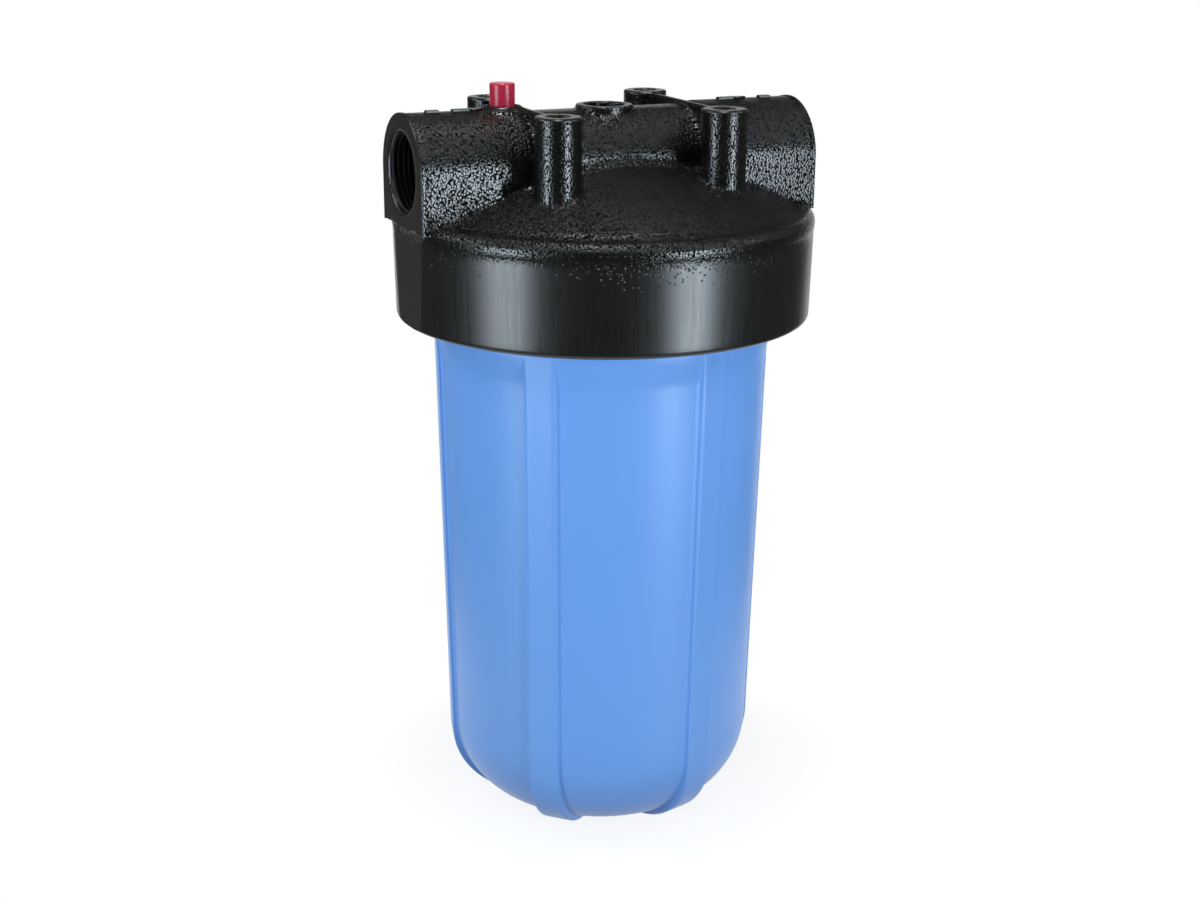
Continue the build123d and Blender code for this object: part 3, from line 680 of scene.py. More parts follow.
def cap_top(material, step):
    """The dome, ports, posts, webs and bosses, one moulding."""
    form = CapForm()
    low, high = (-93.4, -93.4, 266.3), (93.4, 93.4, 325.4)
    points, quads = surface_net(form, low, high, step)
    points = settle(points, form)
    points[:, :2] = np.clip(points[:, :2], -FACE_X, FACE_X)
    points[:, 2] = np.minimum(points[:, 2], RELIEF_BOSS_TOP_Z)
    piece = new_piece("cap_top", points, quads, material)
    faces = len(piece.data.polygons)
    modifier = piece.modifiers.new("Thin", "DECIMATE")
    modifier.ratio = min(1.0, CAP_TRIANGLES / (2 * faces))
    solid_result(piece)
    sharp_above(piece, 50)
    return piece


def port_band(name, material, side):
    """The plain raised band round one port's mouth, up one flank, over the top and down the other."""
    turns = [0.0] * 10 + list(np.linspace(0, pi, 49)) + [pi] * 10
    heights = list(np.linspace(BLOCK_FOOT_Z, PORT_AXIS_Z, 11)[:-1]) + [PORT_AXIS_Z] * 49
    heights += list(np.linspace(PORT_AXIS_Z, BLOCK_FOOT_Z, 11)[1:])
    section = softened([
        (0.0, -1.2, 0), (0.0, PORT_R - BODY_R, 0.45), (BAND, PORT_R - BODY_R, 0.3), (BAND, 0.0, 0.1),
        (BAND + 0.5, -0.3, 0)], 6)
    rings = []
    for turn, height in zip(turns, heights):
        reaches = [(side * (FACE_X - inset), BODY_R + rise) for inset, rise in section]
        rings.append([(x, reach * cos(turn), height + reach * sin(turn)) for x, reach in reaches])
    points, faces = ringed(rings, closed=False)
    count = len(section)
    ends = [tuple(range(count)), tuple(len(points) - 1 - i for i in range(count))]
    return weld(new_piece(name, points, faces + ends, material), 40)


def flow_mark(name, material, outline, side):
    """A raised mark on the crown of one port, from its (x, y) outline."""
    count = len(outline)
    mx, my = sum(x for x, y in outline) / count, sum(y for x, y in outline) / count
    rings = []
    for reach, shrink in ((BODY_R - 0.5, 1.0), (BODY_R + 0.6, 1.0), (BODY_R + 0.85, 0.93)):
        flat = [(mx + (x - mx) * shrink, (my + (y - my) * shrink) / BODY_R) for x, y in outline]
        rings.append([(side * x, reach * sin(turn), PORT_AXIS_Z + reach * cos(turn)) for x, turn in flat])
    points, faces = ringed(rings)
    ends = [tuple(range(2 * count, 3 * count)), tuple(reversed(range(count)))]
    return weld(new_piece(name, points, faces + ends, material), 30)


def skirt_ring(r, flat_steps=14, arc_steps=118):
    """The (x, y) points of one ring of the skirt, with its two flats below the ports."""
    edge = max(acos(min(1, SKIRT_FLAT_X / r)), radians(0.4))
    near = 0.45 / 90
    ring = []
    for side in (0, pi):
        for t in np.linspace(-1, 1, flat_steps + 1)[:-1]:
            y = t * r * sin(edge)
            x = min(SKIRT_FLAT_X, r * cos(edge)) if r > SKIRT_FLAT_X else sqrt(r * r - y * y)
            ring.append((x * cos(side) - y * sin(side), x * sin(side) + y * cos(side)))
        last = pi - edge
        between = np.linspace(edge + 2.5 * near, last - 2.5 * near, arc_steps - 3)
        angles = [edge, edge + near, *between, last - near]
        ring += [(r * cos(side + a), r * sin(side + a)) for a in angles]
    return ring


def cap_skirt(material):
    """The smooth skirt that the bowl screws into."""
    line = softened([
        (SKIRT_BORE_R, 271.0, 0), (SKIRT_BORE_R, CAP_FOOT_Z + 1.2, 0.3),
        (SKIRT_BORE_R + 1.2, CAP_FOOT_Z, 0.3), (SKIRT_FOOT_R, CAP_FOOT_Z, 3.6),
        (SKIRT_TOP_R, SKIRT_TOP_Z, 0)], 8)
    top_r, top_z = line.pop()
    low_r, low_z = line[-1]
    for t in np.linspace(0.05, 1, 12):
        line.append((low_r + (top_r - low_r) * t, low_z + (top_z - low_z) * t))
    line += arc((SKIRT_TOP_R, SKIRT_TOP_Z), (91.9, 272.6), (RIM_R, CAP_RIM_Z), 8)[1:]
    line += [(RIM_R, CAP_RIM_Z), (91.8, 274.5)]
    rings = [[(x, y, z) for x, y in skirt_ring(r)] for r, z in line]
    for ring in rings[-2:]:
        for i, (x, y, z) in enumerate(ring):
            if abs(x) > SKIRT_FLAT_X - 0.01 and abs(y) < 18.6:
                ring[i] = (x, y, BLOCK_FOOT_Z + 0.1)
    rings.append(rings[0])
    return weld(new_piece("cap_skirt", *ringed(rings), material), 32)


# The bowl

def bowl_r(z):
    """Outer radius over the ribs at a height."""
    return BOWL_TOP_R - (CAP_FOOT_Z - z) * BOWL_TAPER


def rib_u(z):
    """Distance of a rib's flat face from the axis at a height."""
    r = bowl_r(z)
    return sqrt(r * r - (RIB_WIDTH / 2) ** 2)


def bowl_sections():
    """Pairs of (r, z) points, panel and rib face, from the bottom's middle up to the neck."""
    pairs = []
    panel_side = bowl_r(FOOT_LIFT + PANEL_CORNER[1]) - PANEL_DEPTH
    rib_side = rib_u(RIB_CORNER[1])
    panel_flat, rib_flat = panel_side - PANEL_CORNER[0], rib_side - RIB_CORNER[0]
    for r in (1.0, 5.0, 10.0, 16.0, 20.0, 22.0):
        pairs.append(((r, FOOT_LIFT), (r, FOOT_LIFT)))
    for t in (0.0, 0.06, 0.3, 0.6, 0.85, 1.0):
        drop = FOOT_LIFT * (1 - t * t * (3 - 2 * t))
        pairs.append(((FOOT_EDGE_R + 0.5 * t, FOOT_LIFT), (FOOT_EDGE_R + 0.9 * t, drop)))
    for t in (0.08, 0.3, 0.65, 1.0):
        panel = 22.8 + (panel_flat - 22.8) * t
        pairs.append(((panel, FOOT_LIFT), (23.2 + (rib_flat - 23.2) * t, 0.0)))
    for turn in np.linspace(0, pi / 2, 34)[1:]:
        panel = (panel_flat + PANEL_CORNER[0] * sin(turn), FOOT_LIFT + PANEL_CORNER[1] * (1 - cos(turn)))
        rib = (rib_flat + RIB_CORNER[0] * sin(turn), RIB_CORNER[1] * (1 - cos(turn)))
        pairs.append((panel, rib))
    start = FOOT_LIFT + PANEL_CORNER[1]
    ramp = PANEL_TOP_Z - PANEL_RAMP
    for z in np.linspace(start + 6, ramp - 2, 22):
        pairs.append(((bowl_r(z) - PANEL_DEPTH, z), (rib_u(z), z)))
    for t in np.linspace(0, 1, 15):
        z = ramp - 1.5 + (PANEL_RAMP + 1.5) * t
        ease = min(1.0, max(0.0, (t - 0.06) / 0.9))
        ease = ease * ease * (3 - 2 * ease) * 0.5 + ease * 0.5
        pairs.append(((bowl_r(z) - PANEL_DEPTH * (1 - ease), z), (rib_u(z), z)))
    return pairs


def sector_ring(panel, rib, rib_edge):
    """One ring of a 60 degree sector, centred on a rib, from one panel's middle to the next."""
    (rp, zp), (u, zr) = panel, rib
    half = RIB_WIDTH / 2
    half_sector = pi / RIB_COUNT
    if rp < 22.2:
        side = asin(half / FOOT_EDGE_R)
        outer = list(np.linspace(side, half_sector, 18))
        middle = list(np.linspace(-side, side, 10)[1:-1])
        turns = [-a for a in outer[::-1]] + [-side] * 7 + middle + [side] * 7 + outer
        return [(rp * cos(a), rp * sin(a), zp) for a in turns]
    low = sqrt(rp * rp - half * half)
    rise = max(hypot(u - low, zr - zp), 1e-4)
    edge, root = min(rib_edge, 0.42 * rise), min(ROOT_ROUNDING, 0.42 * rise)
    out = ((u - low) / rise, (zr - zp) / rise)

    def at(v, lift):
        """A point beside the rib, lifted from the panel towards the rib's face."""
        return (low + out[0] * lift, v, zp + out[1] * lift)

    side = []
    start = asin(min(1, (half + root) / rp))
    for a in np.linspace(half_sector, start, 18):
        side.append((rp * cos(a), rp * sin(a), zp))
    for t in np.linspace(0, pi / 2, 4)[1:]:
        side.append(at(half + root * (1 - sin(t)), root * (1 - cos(t))))
    for t in np.linspace(0, pi / 2, 5)[:4]:
        side.append(at(half - edge * (1 - cos(t)), rise - edge * (1 - sin(t))))
    left = [(x, -y, z) for x, y, z in side]
    face = [(u, v, zr) for v in np.linspace(-(half - edge), half - edge, 10)[1:-1]]
    return left + face + side[::-1]


def upper_line():
    """(r, z) points above the ribs: flare, neck, seal groove, inside wall, floor and seat."""
    return softened([
        (bowl_r(PANEL_TOP_Z), PANEL_TOP_Z, 0), (BOWL_TOP_R, FLARE_Z, 0.8),
        (NECK_R, FLARE_Z + NECK_R - BOWL_TOP_R, 0.8), (NECK_R, NECK_TOP_Z, 0.5),
        (79.2, NECK_TOP_Z, 0.3), (79.2, 264.3, 0.3), (74.8, 264.3, 0.3), (74.8, NECK_TOP_Z, 0.3),
        (NECK_BORE_R, NECK_TOP_Z, 0.5), (NECK_BORE_R, 235.6, 3), (68.3, PANEL_TOP_Z, 5),
        (64.1, 42.0, 0), (62.4, 29.5, 6), (57.2, 18.6, 6), (48.0, 11.0, 6), (34.0, 7.9, 6),
        (22.0, 7.7, 1.0), (22.0, 18.5, 0.5), (12.6, 18.5, 0.8), (12.6, SEAT_Z, 1.0), (1.0, SEAT_Z, 0)], 4)


def bowl_sector(rib_edge):
    """A sixth of the bowl, closed inside and out, as a mesh for the repeat tree."""
    rings = [sector_ring(panel, rib, rib_edge) for panel, rib in bowl_sections()]
    turns = [atan2(y, x) for x, y, z in rings[-1]]
    for r, z in upper_line():
        rings.append([(r * cos(a), r * sin(a), z) for a in turns])
    points, faces = ringed(rings, closed=False)
    bottom, top_middle = len(points), len(points) + 1
    last = len(points) - len(turns)
    points += [(0, 0, FOOT_LIFT), (0, 0, SEAT_Z)]
    for j in range(len(turns) - 1):
        faces.append((bottom, j + 1, j))
        faces.append((last + j, last + j + 1, top_middle))
    first = radians(RIB_FIRST)
    turned = [(x * cos(first) - y * sin(first), x * sin(first) + y * cos(first), z) for x, y, z in points]
    return new_mesh("bowl_sector", turned, faces)


def bowl_body(material, tree, rib_edge):
    """The whole bowl: its sector repeated six times round the axis."""
    values = {"Count": RIB_COUNT, "Material": material}
    return weld(tree_piece("bowl_body", tree, values, bowl_sector(rib_edge)), 40, 2e-6)


# Threads

# Radius, turns, widths at the foot and the tip, depth, and 1 outwards or -1 inwards
CAP_THREAD = (83.1, 4.0, 3.2, 1.6, 3.0, -1)
BOWL_THREAD = (82.2, 3.8, 3.0, 1.6, 2.9, 1)
PORT_THREAD = (PORT_HOLE_R - 0.35, 9.0, 1.9, 0.5, 1.5, -1)


def thread(name, tree, material, sizes, pitch, place, **settings):
    """A screw ridge of the given sizes, moved to its place."""
    radius, turns, foot, tip, depth, facing = sizes
    piece = tree_piece(name, tree, {
        "Radius": radius * MM, "Pitch": pitch, "Turns": turns, "Foot": foot * MM, "Tip": tip * MM,
        "Depth": depth * MM, "Facing": facing * pi / 2, "Material": material, **settings})
    piece.data.transform(place)
    piece.data.shade_smooth()
    sharp_above(piece, 30)
    return piece


def upright_thread(name, tree, material, sizes, pitch, foot_z):
    """A thread round the bowl's axis that starts at a height."""
    return thread(name, tree, material, sizes, pitch, Matrix.Translation((0, 0, foot_z * MM)))


def port_thread(name, tree, material, pitch, side):
    """The pipe thread inside one port, from its mouth inwards."""
    reach = (FACE_X - 1.6) * MM - PORT_THREAD[1] * pitch
    place = Matrix.Translation((side * reach, 0, PORT_AXIS_Z * MM))
    place = place @ Matrix.Rotation(radians(90 * side), 4, "Y")
    return thread(name, tree, material, PORT_THREAD, pitch, place, **{"Run-out": 0.03, "Steps": 72})


# Materials

# Where the leather grain and its stray beads fade in, and what stays plain, in metres
GRAIN_FADE_Z = (0.2665, 0.2765)
BEAD_FADE_Z = (0.2575, 0.2735)
PLAIN_TOPS_Z = (0.3215, 0.3221)
PLAIN_FACE_X = (0.0915, 0.0919)
PLAIN_BORE_R = (0.0170, 0.0176)
PLAIN_BORE_X = (0.062, 0.064)


class Paint(Nodes):
    """A node material for one finish, with its Principled BSDF."""

    def __init__(self, name, colour, roughness, metallic=0.0):
        self.material = bpy.data.materials.new(name)
        self.material.use_nodes = True
        tree = self.material.node_tree
        self.shader = tree.nodes["Principled BSDF"]
        self.shader.inputs["Base Color"].default_value = (*colour, 1)
        self.shader.inputs["Roughness"].default_value = roughness
        self.shader.inputs["Metallic"].default_value = metallic
        super().__init__(tree, tree.nodes.new("ShaderNodeTexCoord").outputs["Object"])
        self.x, self.y, self.z = self.split(self.place)

    def wear(self, **sockets):
        for name, value in sockets.items():
            self.link(value, self.shader.inputs[name.replace("_", " ")])
        return self.material


def shared_effect(name, make, **numbers):
    """A shader node group with a Place input, the named numbers and one output."""
    if name in bpy.data.node_groups:
        return bpy.data.node_groups[name]
    tree = bpy.data.node_groups.new(name, "ShaderNodeTree")
    tree.interface.new_socket("Place", in_out="INPUT", socket_type="NodeSocketVector")
    for label, value in numbers.items():
        tree.interface.new_socket(label, in_out="INPUT", socket_type="NodeSocketFloat").default_value = value
    tree.interface.new_socket("Mask", in_out="OUTPUT", socket_type="NodeSocketFloat")
    values = tree.nodes.new("NodeGroupInput").outputs
    n = Nodes(tree, values["Place"])
    n.add("NodeGroupOutput", {"Mask": make(n, values)})
    return tree


def scaled(colour, factor):
    """A colour made lighter or darker, kept below white."""
    return tuple(min(1.0, c * factor) for c in colour)


def drag_marks():
    """Fine upright streaks that a mould leaves as the part is drawn out of it."""
    def make(n, values):
        fine = n.noise(values["Scale"], 3.0, 0.6, (1, 1, 0.045))
        broad = n.noise(n.times(values["Scale"], 0.28), 2.0, 0.5, (1, 1, 0.03), 4.0)
        return n.plus(n.times(fine, 0.6), n.times(broad, 0.4))
    return shared_effect("Drag marks", make, Scale=900.0)


def mottle():
    """Slow, cloudy unevenness of a moulded or rolled surface."""
    def make(n, values):
        return n.noise(values["Scale"], 3.0, 0.55, None, 7.0)
    return shared_effect("Mottle", make, Scale=30.0)


def specks():
    """Small separate dots: dust, pits and painted sparkles."""
    def make(n, values):
        distance, colour = n.cells(values["Scale"])
        chance, width, _ = n.split(colour)
        chosen = n.maths("LESS_THAN", chance, values["Share"])
        size = n.plus(n.times(width, 0.16), 0.08)
        return n.times(n.maths("SUBTRACT", 1.0, n.maths("DIVIDE", distance, size), clamp=True), chosen)
    return shared_effect("Specks", make, Scale=400.0, Share=0.1)


def cap_plastic(sizes, colours):
    """Black moulding plastic: leather grain above, a drawn satin skirt with stray beads below."""
    p = Paint("cap_plastic", tuple(colours.cap), 0.3)
    ax = p.maths("ABSOLUTE", p.x)
    off_axis = p.length(p.y, p.minus(p.z, PORT_AXIS_Z * MM))
    ragged = p.times(p.minus(p.noise(420, 2, 0.6), 0.5), 0.008)
    above = p.step(p.plus(p.z, ragged), *GRAIN_FADE_Z)
    on_top = p.step(p.z, *PLAIN_TOPS_Z, 1.0, 0.0)
    face = p.step(ax, *PLAIN_FACE_X, 1.0, 0.0)
    bore = p.maths("MAXIMUM", p.step(off_axis, *PLAIN_BORE_R), p.step(ax, *PLAIN_BORE_X, 1.0, 0.0))
    grained = p.times(above, on_top, p.times(face, bore))

    # Pebbles with sunk borders, drawn askew by a slower noise and flatter on upright walls
    pebbles = 1 / max(sizes.grain, 1e-4)
    warp = p.add("ShaderNodeTexNoise", {"Scale": pebbles * 0.7, "Detail": 1.0, "Vector": p.place})
    moved = p.add("ShaderNodeVectorMath", {
        0: warp.outputs["Color"], 1: (0.4 / pebbles,) * 3, 2: p.place}, operation="MULTIPLY_ADD")
    distance, colour = p.cells(pebbles, moved.outputs[0])
    sunk = p.maths("POWER", distance, 3.0)
    facing = p.split(p.add("ShaderNodeNewGeometry").outputs["Normal"])
    coarse = p.step(p.maths("ABSOLUTE", facing[2]), 0.1, 0.5, 0.36, 1.0)
    normal = p.bump(p.times(p.times(sunk, -1.0), p.times(grained, coarse)), 0.56 * sizes.grain)

    # Single beads where the grain thins out down the skirt
    patchy = p.step(p.noise(26, 2, 0.5, None, 3.0), 0.38, 0.62)
    share = p.times(p.step(p.z, *BEAD_FADE_Z), patchy, 0.6)
    kept = p.step(p.minus(share, p.split(colour)[0]), 0.0, 0.04)
    beads = p.times(p.step(distance, 0.12, 0.5, 1.0, 0.0), kept)
    normal = p.bump(p.times(beads, p.minus(1.0, above)), 0.15 * sizes.grain, 1.0, normal)

    streaks = p.effect(drag_marks(), Scale=1100.0)
    normal = p.bump(streaks, 0.00003, 0.6, normal)
    smooth = p.plus(p.times(streaks, 0.26), 0.14)
    smooth = p.plus(smooth, p.times(p.effect(mottle(), Scale=45.0), 0.06))
    rough = p.plus(p.times(smooth, p.minus(1.0, grained)), p.times(grained, 0.16))
    # Light specks painted into the colour: partly dust, partly painted sparkle glints.
    dust_and_glints = p.effect(specks(), Scale=240.0, Share=0.05)
    colour = p.blend(p.times(dust_and_glints, 0.5), tuple(colours.cap), (0.05, 0.05, 0.048))
    # Less gloss in the pebbles' sunk borders: painted shade in the grain's valleys.
    gloss_with_valley_shade = p.maths("MAXIMUM", p.minus(0.75, p.times(sunk, grained, 1.5)), 0.1)
    return p.wear(Base_Color=colour, Normal=normal, Roughness=rough, Specular_IOR_Level=gloss_with_valley_shade)


def bowl_plastic(colours):
    """Light blue satin plastic with painted shade that darkens it towards the foot, pits and a faint flow
    pattern.
    """
    low = tuple(colours.bowl)
    p = Paint("bowl_plastic", low, 0.38)
    cloud = p.effect(mottle(), Scale=16.0)
    colour = p.blend(cloud, scaled(low, 0.96), scaled(low, 1.04))
    # Painted shade: the blue darkens towards the foot, as if less light reached the bottom.
    colour = p.blend(p.step(p.z, -0.04, 0.26, 0.75, 0.0), colour, scaled(low, 0.7))
    pits = p.effect(specks(), Scale=55.0, Share=0.02)
    colour = p.blend(p.times(pits, 0.6), colour, (0.09, 0.2, 0.5))
    streaks = p.effect(drag_marks(), Scale=500.0)
    normal = p.bump(streaks, 0.00003, 0.5)
    normal = p.bump(p.effect(mottle(), Scale=60.0), 0.0004, 0.25, normal)
    rough = p.plus(p.times(streaks, 0.14), 0.29)
    return p.wear(Base_Color=colour, Normal=normal, Roughness=rough, Specular_IOR_Level=0.45)


def plain_paint(name, low, high, roughness, metallic=0.0, scale=200.0, streaked=False, depth=0.00003):
    """A finish with a little colour, gloss and surface variation."""
    p = Paint(name, low, roughness, metallic)
    fine = p.effect(drag_marks(), Scale=scale) if streaked else p.effect(mottle(), Scale=scale)
    colour = p.blend(fine, low, high)
    rough = p.plus(p.times(fine, 0.14), roughness - 0.07)
    return p.wear(Base_Color=colour, Normal=p.bump(fine, depth, 0.6), Roughness=rough)


# The stage

TO_CAMERA = Vector((-0.4203, -0.9074, 0.0))
TO_RIGHT = Vector((0.9087, -0.4173, 0.0))
VIEW = Vector((0.4002, 0.8657, -0.3006))

DAYLIGHT, SKY, LAMP = (0.79, 0.91, 1.0), (0.9, 0.96, 1.0), (1.0, 0.98, 0.95)

# Name, turn in degrees, distance, height, height it faces, width and height, watts and colour
LAMPS = (
    ("left_box", -51.5, 1.3, 0.16, 0.2, (0.54, 0.8), 10.5, DAYLIGHT),
    ("right_box", 47.5, 1.3, 0.16, 0.2, (0.42, 0.8), 12.0, DAYLIGHT),
    ("left_fill", -90, 1.1, 0.95, 0.12, (0.5, 0.5), 3.5, SKY),
    ("right_fill", 90, 1.1, 0.95, 0.12, (0.5, 0.5), 2.0, SKY),
    ("front_box", 0, 0.9, 1.15, 0.25, (0.5, 0.4), 1.6, SKY),
    ("top_box", 0, 0.1, 1.5, 0.25, (0.3, 0.3), 8.5, LAMP))


def photo_camera():
    """The camera at the photograph's place and angle."""
    forward = VIEW.normalized()
    up = Vector((0.1184, 0.2765, 0.9537))
    right = forward.cross(up).normalized()
    up = right.cross(forward)
    data = bpy.data.cameras.new("photo_camera")
    data.sensor_width = 36
    data.lens = 54.38
    data.clip_start, data.clip_end = 0.02, 30
    camera = new_object("photo_camera", data)
    turn = Matrix((right, up, -forward)).transposed()
    camera.matrix_world = Matrix.Translation((-0.3304, -0.7134, 0.4144)) @ turn.to_4x4()
    bpy.context.scene.camera = camera


def soft_box(name, turn, distance, height, target_z, size, watts, colour):
    """A flat soft lamp, placed by its turn to the right of the camera, that faces the axis."""
    data = bpy.data.lights.new(name, "AREA")
    data.shape = "RECTANGLE"
    data.size, data.size_y = size
    data.energy = watts
    data.color = colour
    lamp = new_object(name, data)
    away = TO_CAMERA * cos(radians(turn)) + TO_RIGHT * sin(radians(turn))
    lamp.location = away * distance + Vector((0, 0, height))
    lamp.rotation_mode = "QUATERNION"
    lamp.rotation_quaternion = (Vector((0, 0, target_z)) - lamp.location).to_track_quat("-Z", "Y")
    lamp.visible_camera = False


def studio_world():
    """A dim grey room with a white backdrop behind the object."""
    world = bpy.data.worlds.new("studio")
    world.use_nodes = True
    tree = world.node_tree
    n = Nodes(tree, tree.nodes.new("ShaderNodeTexCoord").outputs["Generated"])
    toward = n.add("ShaderNodeVectorMath", {0: n.place, 1: tuple(VIEW)}, operation="DOT_PRODUCT")
    backdrop = n.step(toward.outputs["Value"], 0.82, 0.9)
    back = tree.nodes["Background"]
    n.link(n.blend(backdrop, (0.09, 0.09, 0.078), (1.0, 1.0, 1.0)), back.inputs["Color"])
    back.inputs["Strength"].default_value = 1.0
    bpy.context.scene.world = world


def table_top():
    """A white table top that fades into the backdrop and keeps the object's soft shadow."""
    line = [(r, -0.02) for r in (1300, 900, 600, 400, 200, 0)]
    p = Paint("table_white", (0.25, 0.25, 0.25), 0.8)
    seen = p.add("ShaderNodeLightPath").outputs
    mirrored = p.plus(seen["Is Glossy Ray"], seen["Is Transmission Ray"])
    rays = p.maths("ADD", seen["Is Camera Ray"], mirrored, clamp=True)
    p.wear(Alpha=p.step(p.length(p.x, p.y), 0.16, 0.38, 1.0, 0.0), Emission_Strength=p.times(rays, 0.86),
           Emission_Color=(1, 1, 1, 1), Specular_IOR_Level=0.1)
    turned_piece("table_top", line, p.material, sides=64)


# What a user changes and runs

def length(name, description, default, low, high, precision=5):
    """A size in metres that a user can change."""
    return FloatProperty(
        name=name, description=description, default=default, min=low, max=high, precision=precision,
        unit="LENGTH")


def colour(name, description, default):
    """A colour that a user can change."""
    return FloatVectorProperty(
        name=name, description=description, default=default, min=0.0, max=1.0, size=3, subtype="COLOR")


class FilterSizes(bpy.types.PropertyGroup):
    """Sizes of the housing's finer forms that a user would change."""

    grain: length("Grain", "Width of one pebble of the cap's leather grain", 0.00105, 0.0002, 0.005)
    cap_mesh: length("Cap mesh", "Grid step that the cap's upper part is meshed with", 0.0008, 0.0004, 0.003)
    bowl_pitch: length("Bowl thread pitch", "Rise of the bowl's thread in one turn", 0.006, 0.003, 0.01, 4)
    port_pitch: length("Port thread pitch", "Rise of the pipe thread in one turn", 0.002209, 0.001, 0.004, 6)
    rib_edge: length("Rib edge", "Rounding of the long edges of the bowl's ribs", 0.0009, 0.0002, 0.002)


class FilterColours(bpy.types.PropertyGroup):
    """Colours of the housing's main pieces."""

    cap: colour("Cap", "Colour of the cap's plastic", (0.0036, 0.0038, 0.0037))
    bowl: colour("Bowl", "Colour of the bowl's plastic", (0.184, 0.41, 0.92))
    button: colour("Button", "Colour of the relief button", (0.52, 0.02, 0.06))


class FILTER_OT_cap(bpy.types.Operator):
    """Builds the black cap: its grained top, smooth skirt, port bands, flow marks and threads."""

    bl_idname = "filter_housing.cap"
    bl_label = "Build the cap"

    def execute(self, context):
        sizes, colours = context.scene.filter_sizes, context.scene.filter_colours
        black = cap_plastic(sizes, colours)
        step = sizes.cap_mesh / MM
        for piece in (cap_top(black, step), cap_skirt(black)):
            finished(piece, "cap", "cap_plastic", "head")
        dash = [(75.5, -1.5), (81.0, -1.5), (81.0, 1.5), (75.5, 1.5)]
        arrow = [(69.5, -1.4), (69.5, 1.4), (61.5, 1.4), (61.5, 3.4), (55.5, 0.0), (61.5, -3.4), (61.5, -1.4)]
        outward = [(124.5 - x, y) for x, y in arrow]
        ridge = ridge_tree()
        pieces = []
        for side, name, pointer in ((-1, "inlet", arrow), (1, "outlet", outward)):
            pieces += [
                port_thread(name + "_thread", ridge, black, sizes.port_pitch, side),
                port_band(name + "_band", black, side),
                flow_mark(name + "_dash", black, dash, side),
                flow_mark(name + "_arrow", black, pointer, side)]
        pieces.append(upright_thread("cap_thread", ridge, black, CAP_THREAD, sizes.bowl_pitch, 237.0))
        for piece in pieces:
            finished(piece, "cap", "cap_plastic")
        return {"FINISHED"}


class FILTER_OT_bowl(bpy.types.Operator):
    """Builds the ribbed blue bowl and its screw thread."""

    bl_idname = "filter_housing.bowl"
    bl_label = "Build the bowl"

    def execute(self, context):
        sizes, colours = context.scene.filter_sizes, context.scene.filter_colours
        blue = bowl_plastic(colours)
        body = bowl_body(blue, around_tree(), sizes.rib_edge / MM)
        finished(body, "bowl", "bowl_plastic", "sump")
        ridge = upright_thread("bowl_thread", ridge_tree(), blue, BOWL_THREAD, sizes.bowl_pitch, 240.0)
        finished(ridge, "bowl", "bowl_plastic")
        return {"FINISHED"}


class FILTER_OT_relief_valve(bpy.types.Operator):
    """Builds the red relief button, the steel ring at its foot and the coil spring below."""

    bl_idname = "filter_housing.relief_valve"
    bl_label = "Build the relief valve"

    def execute(self, context):
        low = tuple(context.scene.filter_colours.button)
        red = plain_paint("button_plastic", low, scaled(low, 1.12), 0.27, 0.0, 420.0, True)
        steel = plain_paint("steel", (0.6, 0.6, 0.61), (0.74, 0.74, 0.74), 0.2, 1.0, 900.0, True)
        line = softened([(4.2, 318.7, 0), (5.35, 318.7, 0.2), (5.35, 333.0, 0.75), (0, 333.0, 0)], 6)
        line = [(0, SPRING_TOP_Z), (4.2, SPRING_TOP_Z)] + line
        button = turned_piece("relief_button_cap", line, red, RELIEF_X)
        finished(button, "relief_valve", "button_plastic", "relief_button")
        line = softened([
            (5.43, 322.35, 0), (5.43, RING_FOOT_Z, 0.2), (RELIEF_WELL_R, RING_FOOT_Z, 0.2),
            (RELIEF_WELL_R, 322.8, 0.35), (5.43, 322.8, 0.35), (5.43, 322.36, 0)], 4)
        ring = turned_piece("relief_foot_ring", line, steel, RELIEF_X, closed=True)
        finished(ring, "cap", "steel", "relief_ring")
        wire = 0.35
        height = SPRING_TOP_Z - SPRING_FOOT_Z - 2 * wire
        coil = tree_piece("relief_coil", coil_tree(), {
            "Radius": 3.55 * MM, "Height": height * MM, "Turns": 5.0, "Wire": wire * MM, "Material": steel})
        coil.data.transform(Matrix.Translation((RELIEF_X * MM, 0, (SPRING_FOOT_Z + wire) * MM)))
        coil.data.shade_smooth()
        finished(coil, "cap", "steel", "relief_spring")
        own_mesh(coil)
        finish_nodes(steel, "relief_stem")
        return {"FINISHED"}


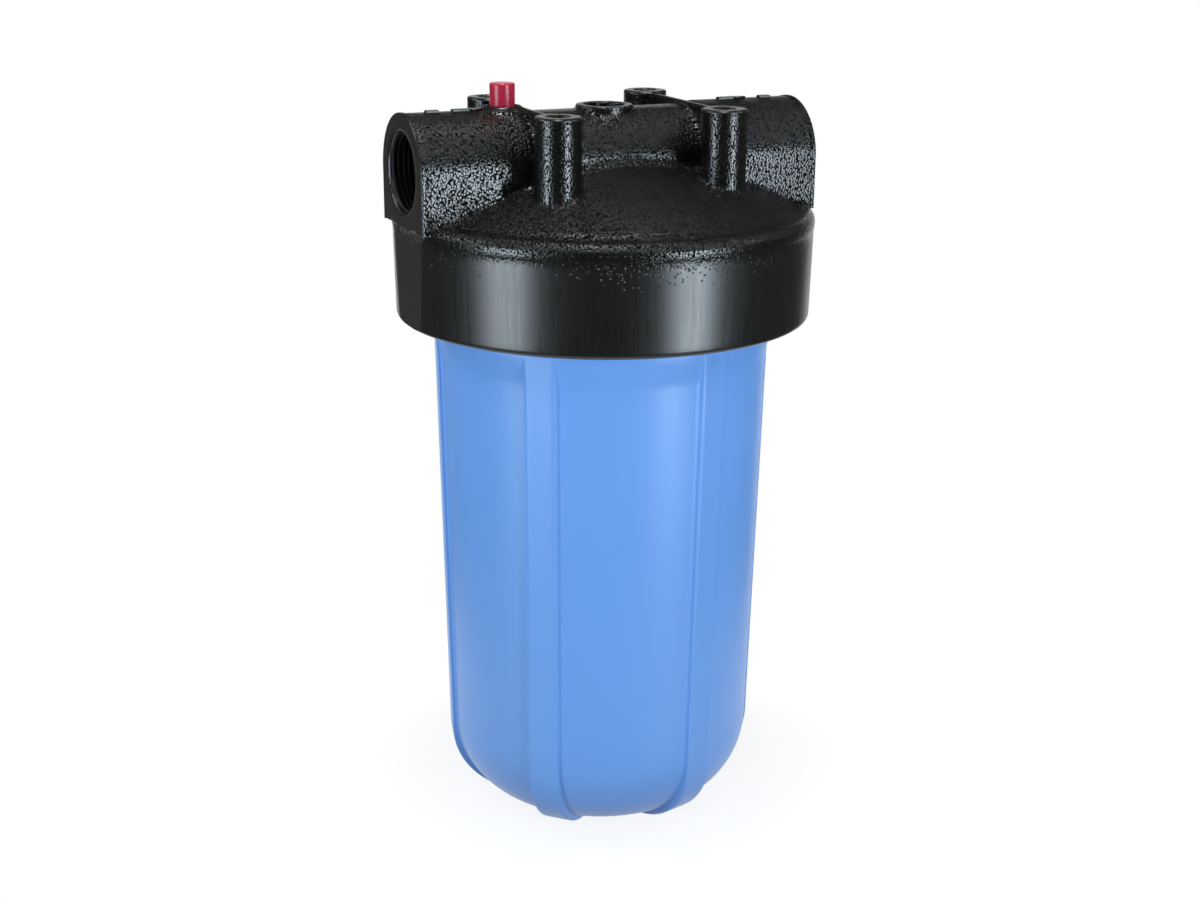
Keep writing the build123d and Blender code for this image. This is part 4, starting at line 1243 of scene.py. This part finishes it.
class FILTER_OT_inner(bpy.types.Operator):
    """Gives the seals and the cartridge their finishes."""

    bl_idname = "filter_housing.inner"
    bl_label = "Finish the inner pieces"

    def execute(self, context):
        rubber = plain_paint("seal_rubber", (0.012, 0.012, 0.012), (0.02, 0.02, 0.02), 0.6)
        gasket = plain_paint("gasket_rubber", (0.03, 0.03, 0.03), (0.045, 0.045, 0.045), 0.75)
        white = plain_paint("cartridge_plastic", (0.72, 0.74, 0.76), (0.8, 0.81, 0.82), 0.4)
        sheet = plain_paint(
            "filter_sheet", (0.7, 0.69, 0.66), (0.88, 0.88, 0.86), 0.9, scale=1300.0, depth=0.0003)
        finish_nodes(rubber, "sump_o_ring", "relief_seal")
        finish_nodes(gasket, "cartridge_bottom_gasket", "cartridge_top_gasket")
        finish_nodes(white, "cartridge_bottom_cap", "cartridge_core", "cartridge_top_cap")
        finish_nodes(sheet, "cartridge_pleats")
        return {"FINISHED"}


class FILTER_OT_stage(bpy.types.Operator):
    """Sets up the camera, the lamps and the white table top."""

    bl_idname = "filter_housing.stage"
    bl_label = "Set the stage"

    def execute(self, context):
        context.scene.view_settings.view_transform = "Standard"
        photo_camera()
        studio_world()
        table_top()
        for lamp in LAMPS:
            soft_box(*lamp)
        return {"FINISHED"}


class FILTER_PT_panel(bpy.types.Panel):
    """Lists what builds the housing and what a user can change."""

    bl_label = "Filter Housing"
    bl_space_type = "VIEW_3D"
    bl_region_type = "UI"
    bl_category = "Filter Housing"

    def draw(self, context):
        for group in (context.scene.filter_sizes, context.scene.filter_colours):
            for name in group.bl_rna.properties.keys():
                if name not in ("rna_type", "name"):
                    self.layout.prop(group, name)
        for operator in OPERATORS:
            self.layout.operator(operator.bl_idname)


GROUPS = {"filter_sizes": FilterSizes, "filter_colours": FilterColours}
OPERATORS = (FILTER_OT_stage, FILTER_OT_cap, FILTER_OT_bowl, FILTER_OT_relief_valve, FILTER_OT_inner)
CLASSES = tuple(GROUPS.values()) + OPERATORS + (FILTER_PT_panel,)


def register():
    for kind in CLASSES:
        bpy.utils.register_class(kind)
    for name, kind in GROUPS.items():
        setattr(bpy.types.Scene, name, PointerProperty(type=kind))


def unregister():
    for name in GROUPS:
        delattr(bpy.types.Scene, name)
    for kind in reversed(CLASSES):
        bpy.utils.unregister_class(kind)


def main():
    """Builds everything."""
    register()
    bpy.ops.filter_housing.stage()
    bpy.ops.filter_housing.cap()
    bpy.ops.filter_housing.bowl()
    bpy.ops.filter_housing.relief_valve()
    bpy.ops.filter_housing.inner()


if __name__ == "__main__":
    main()
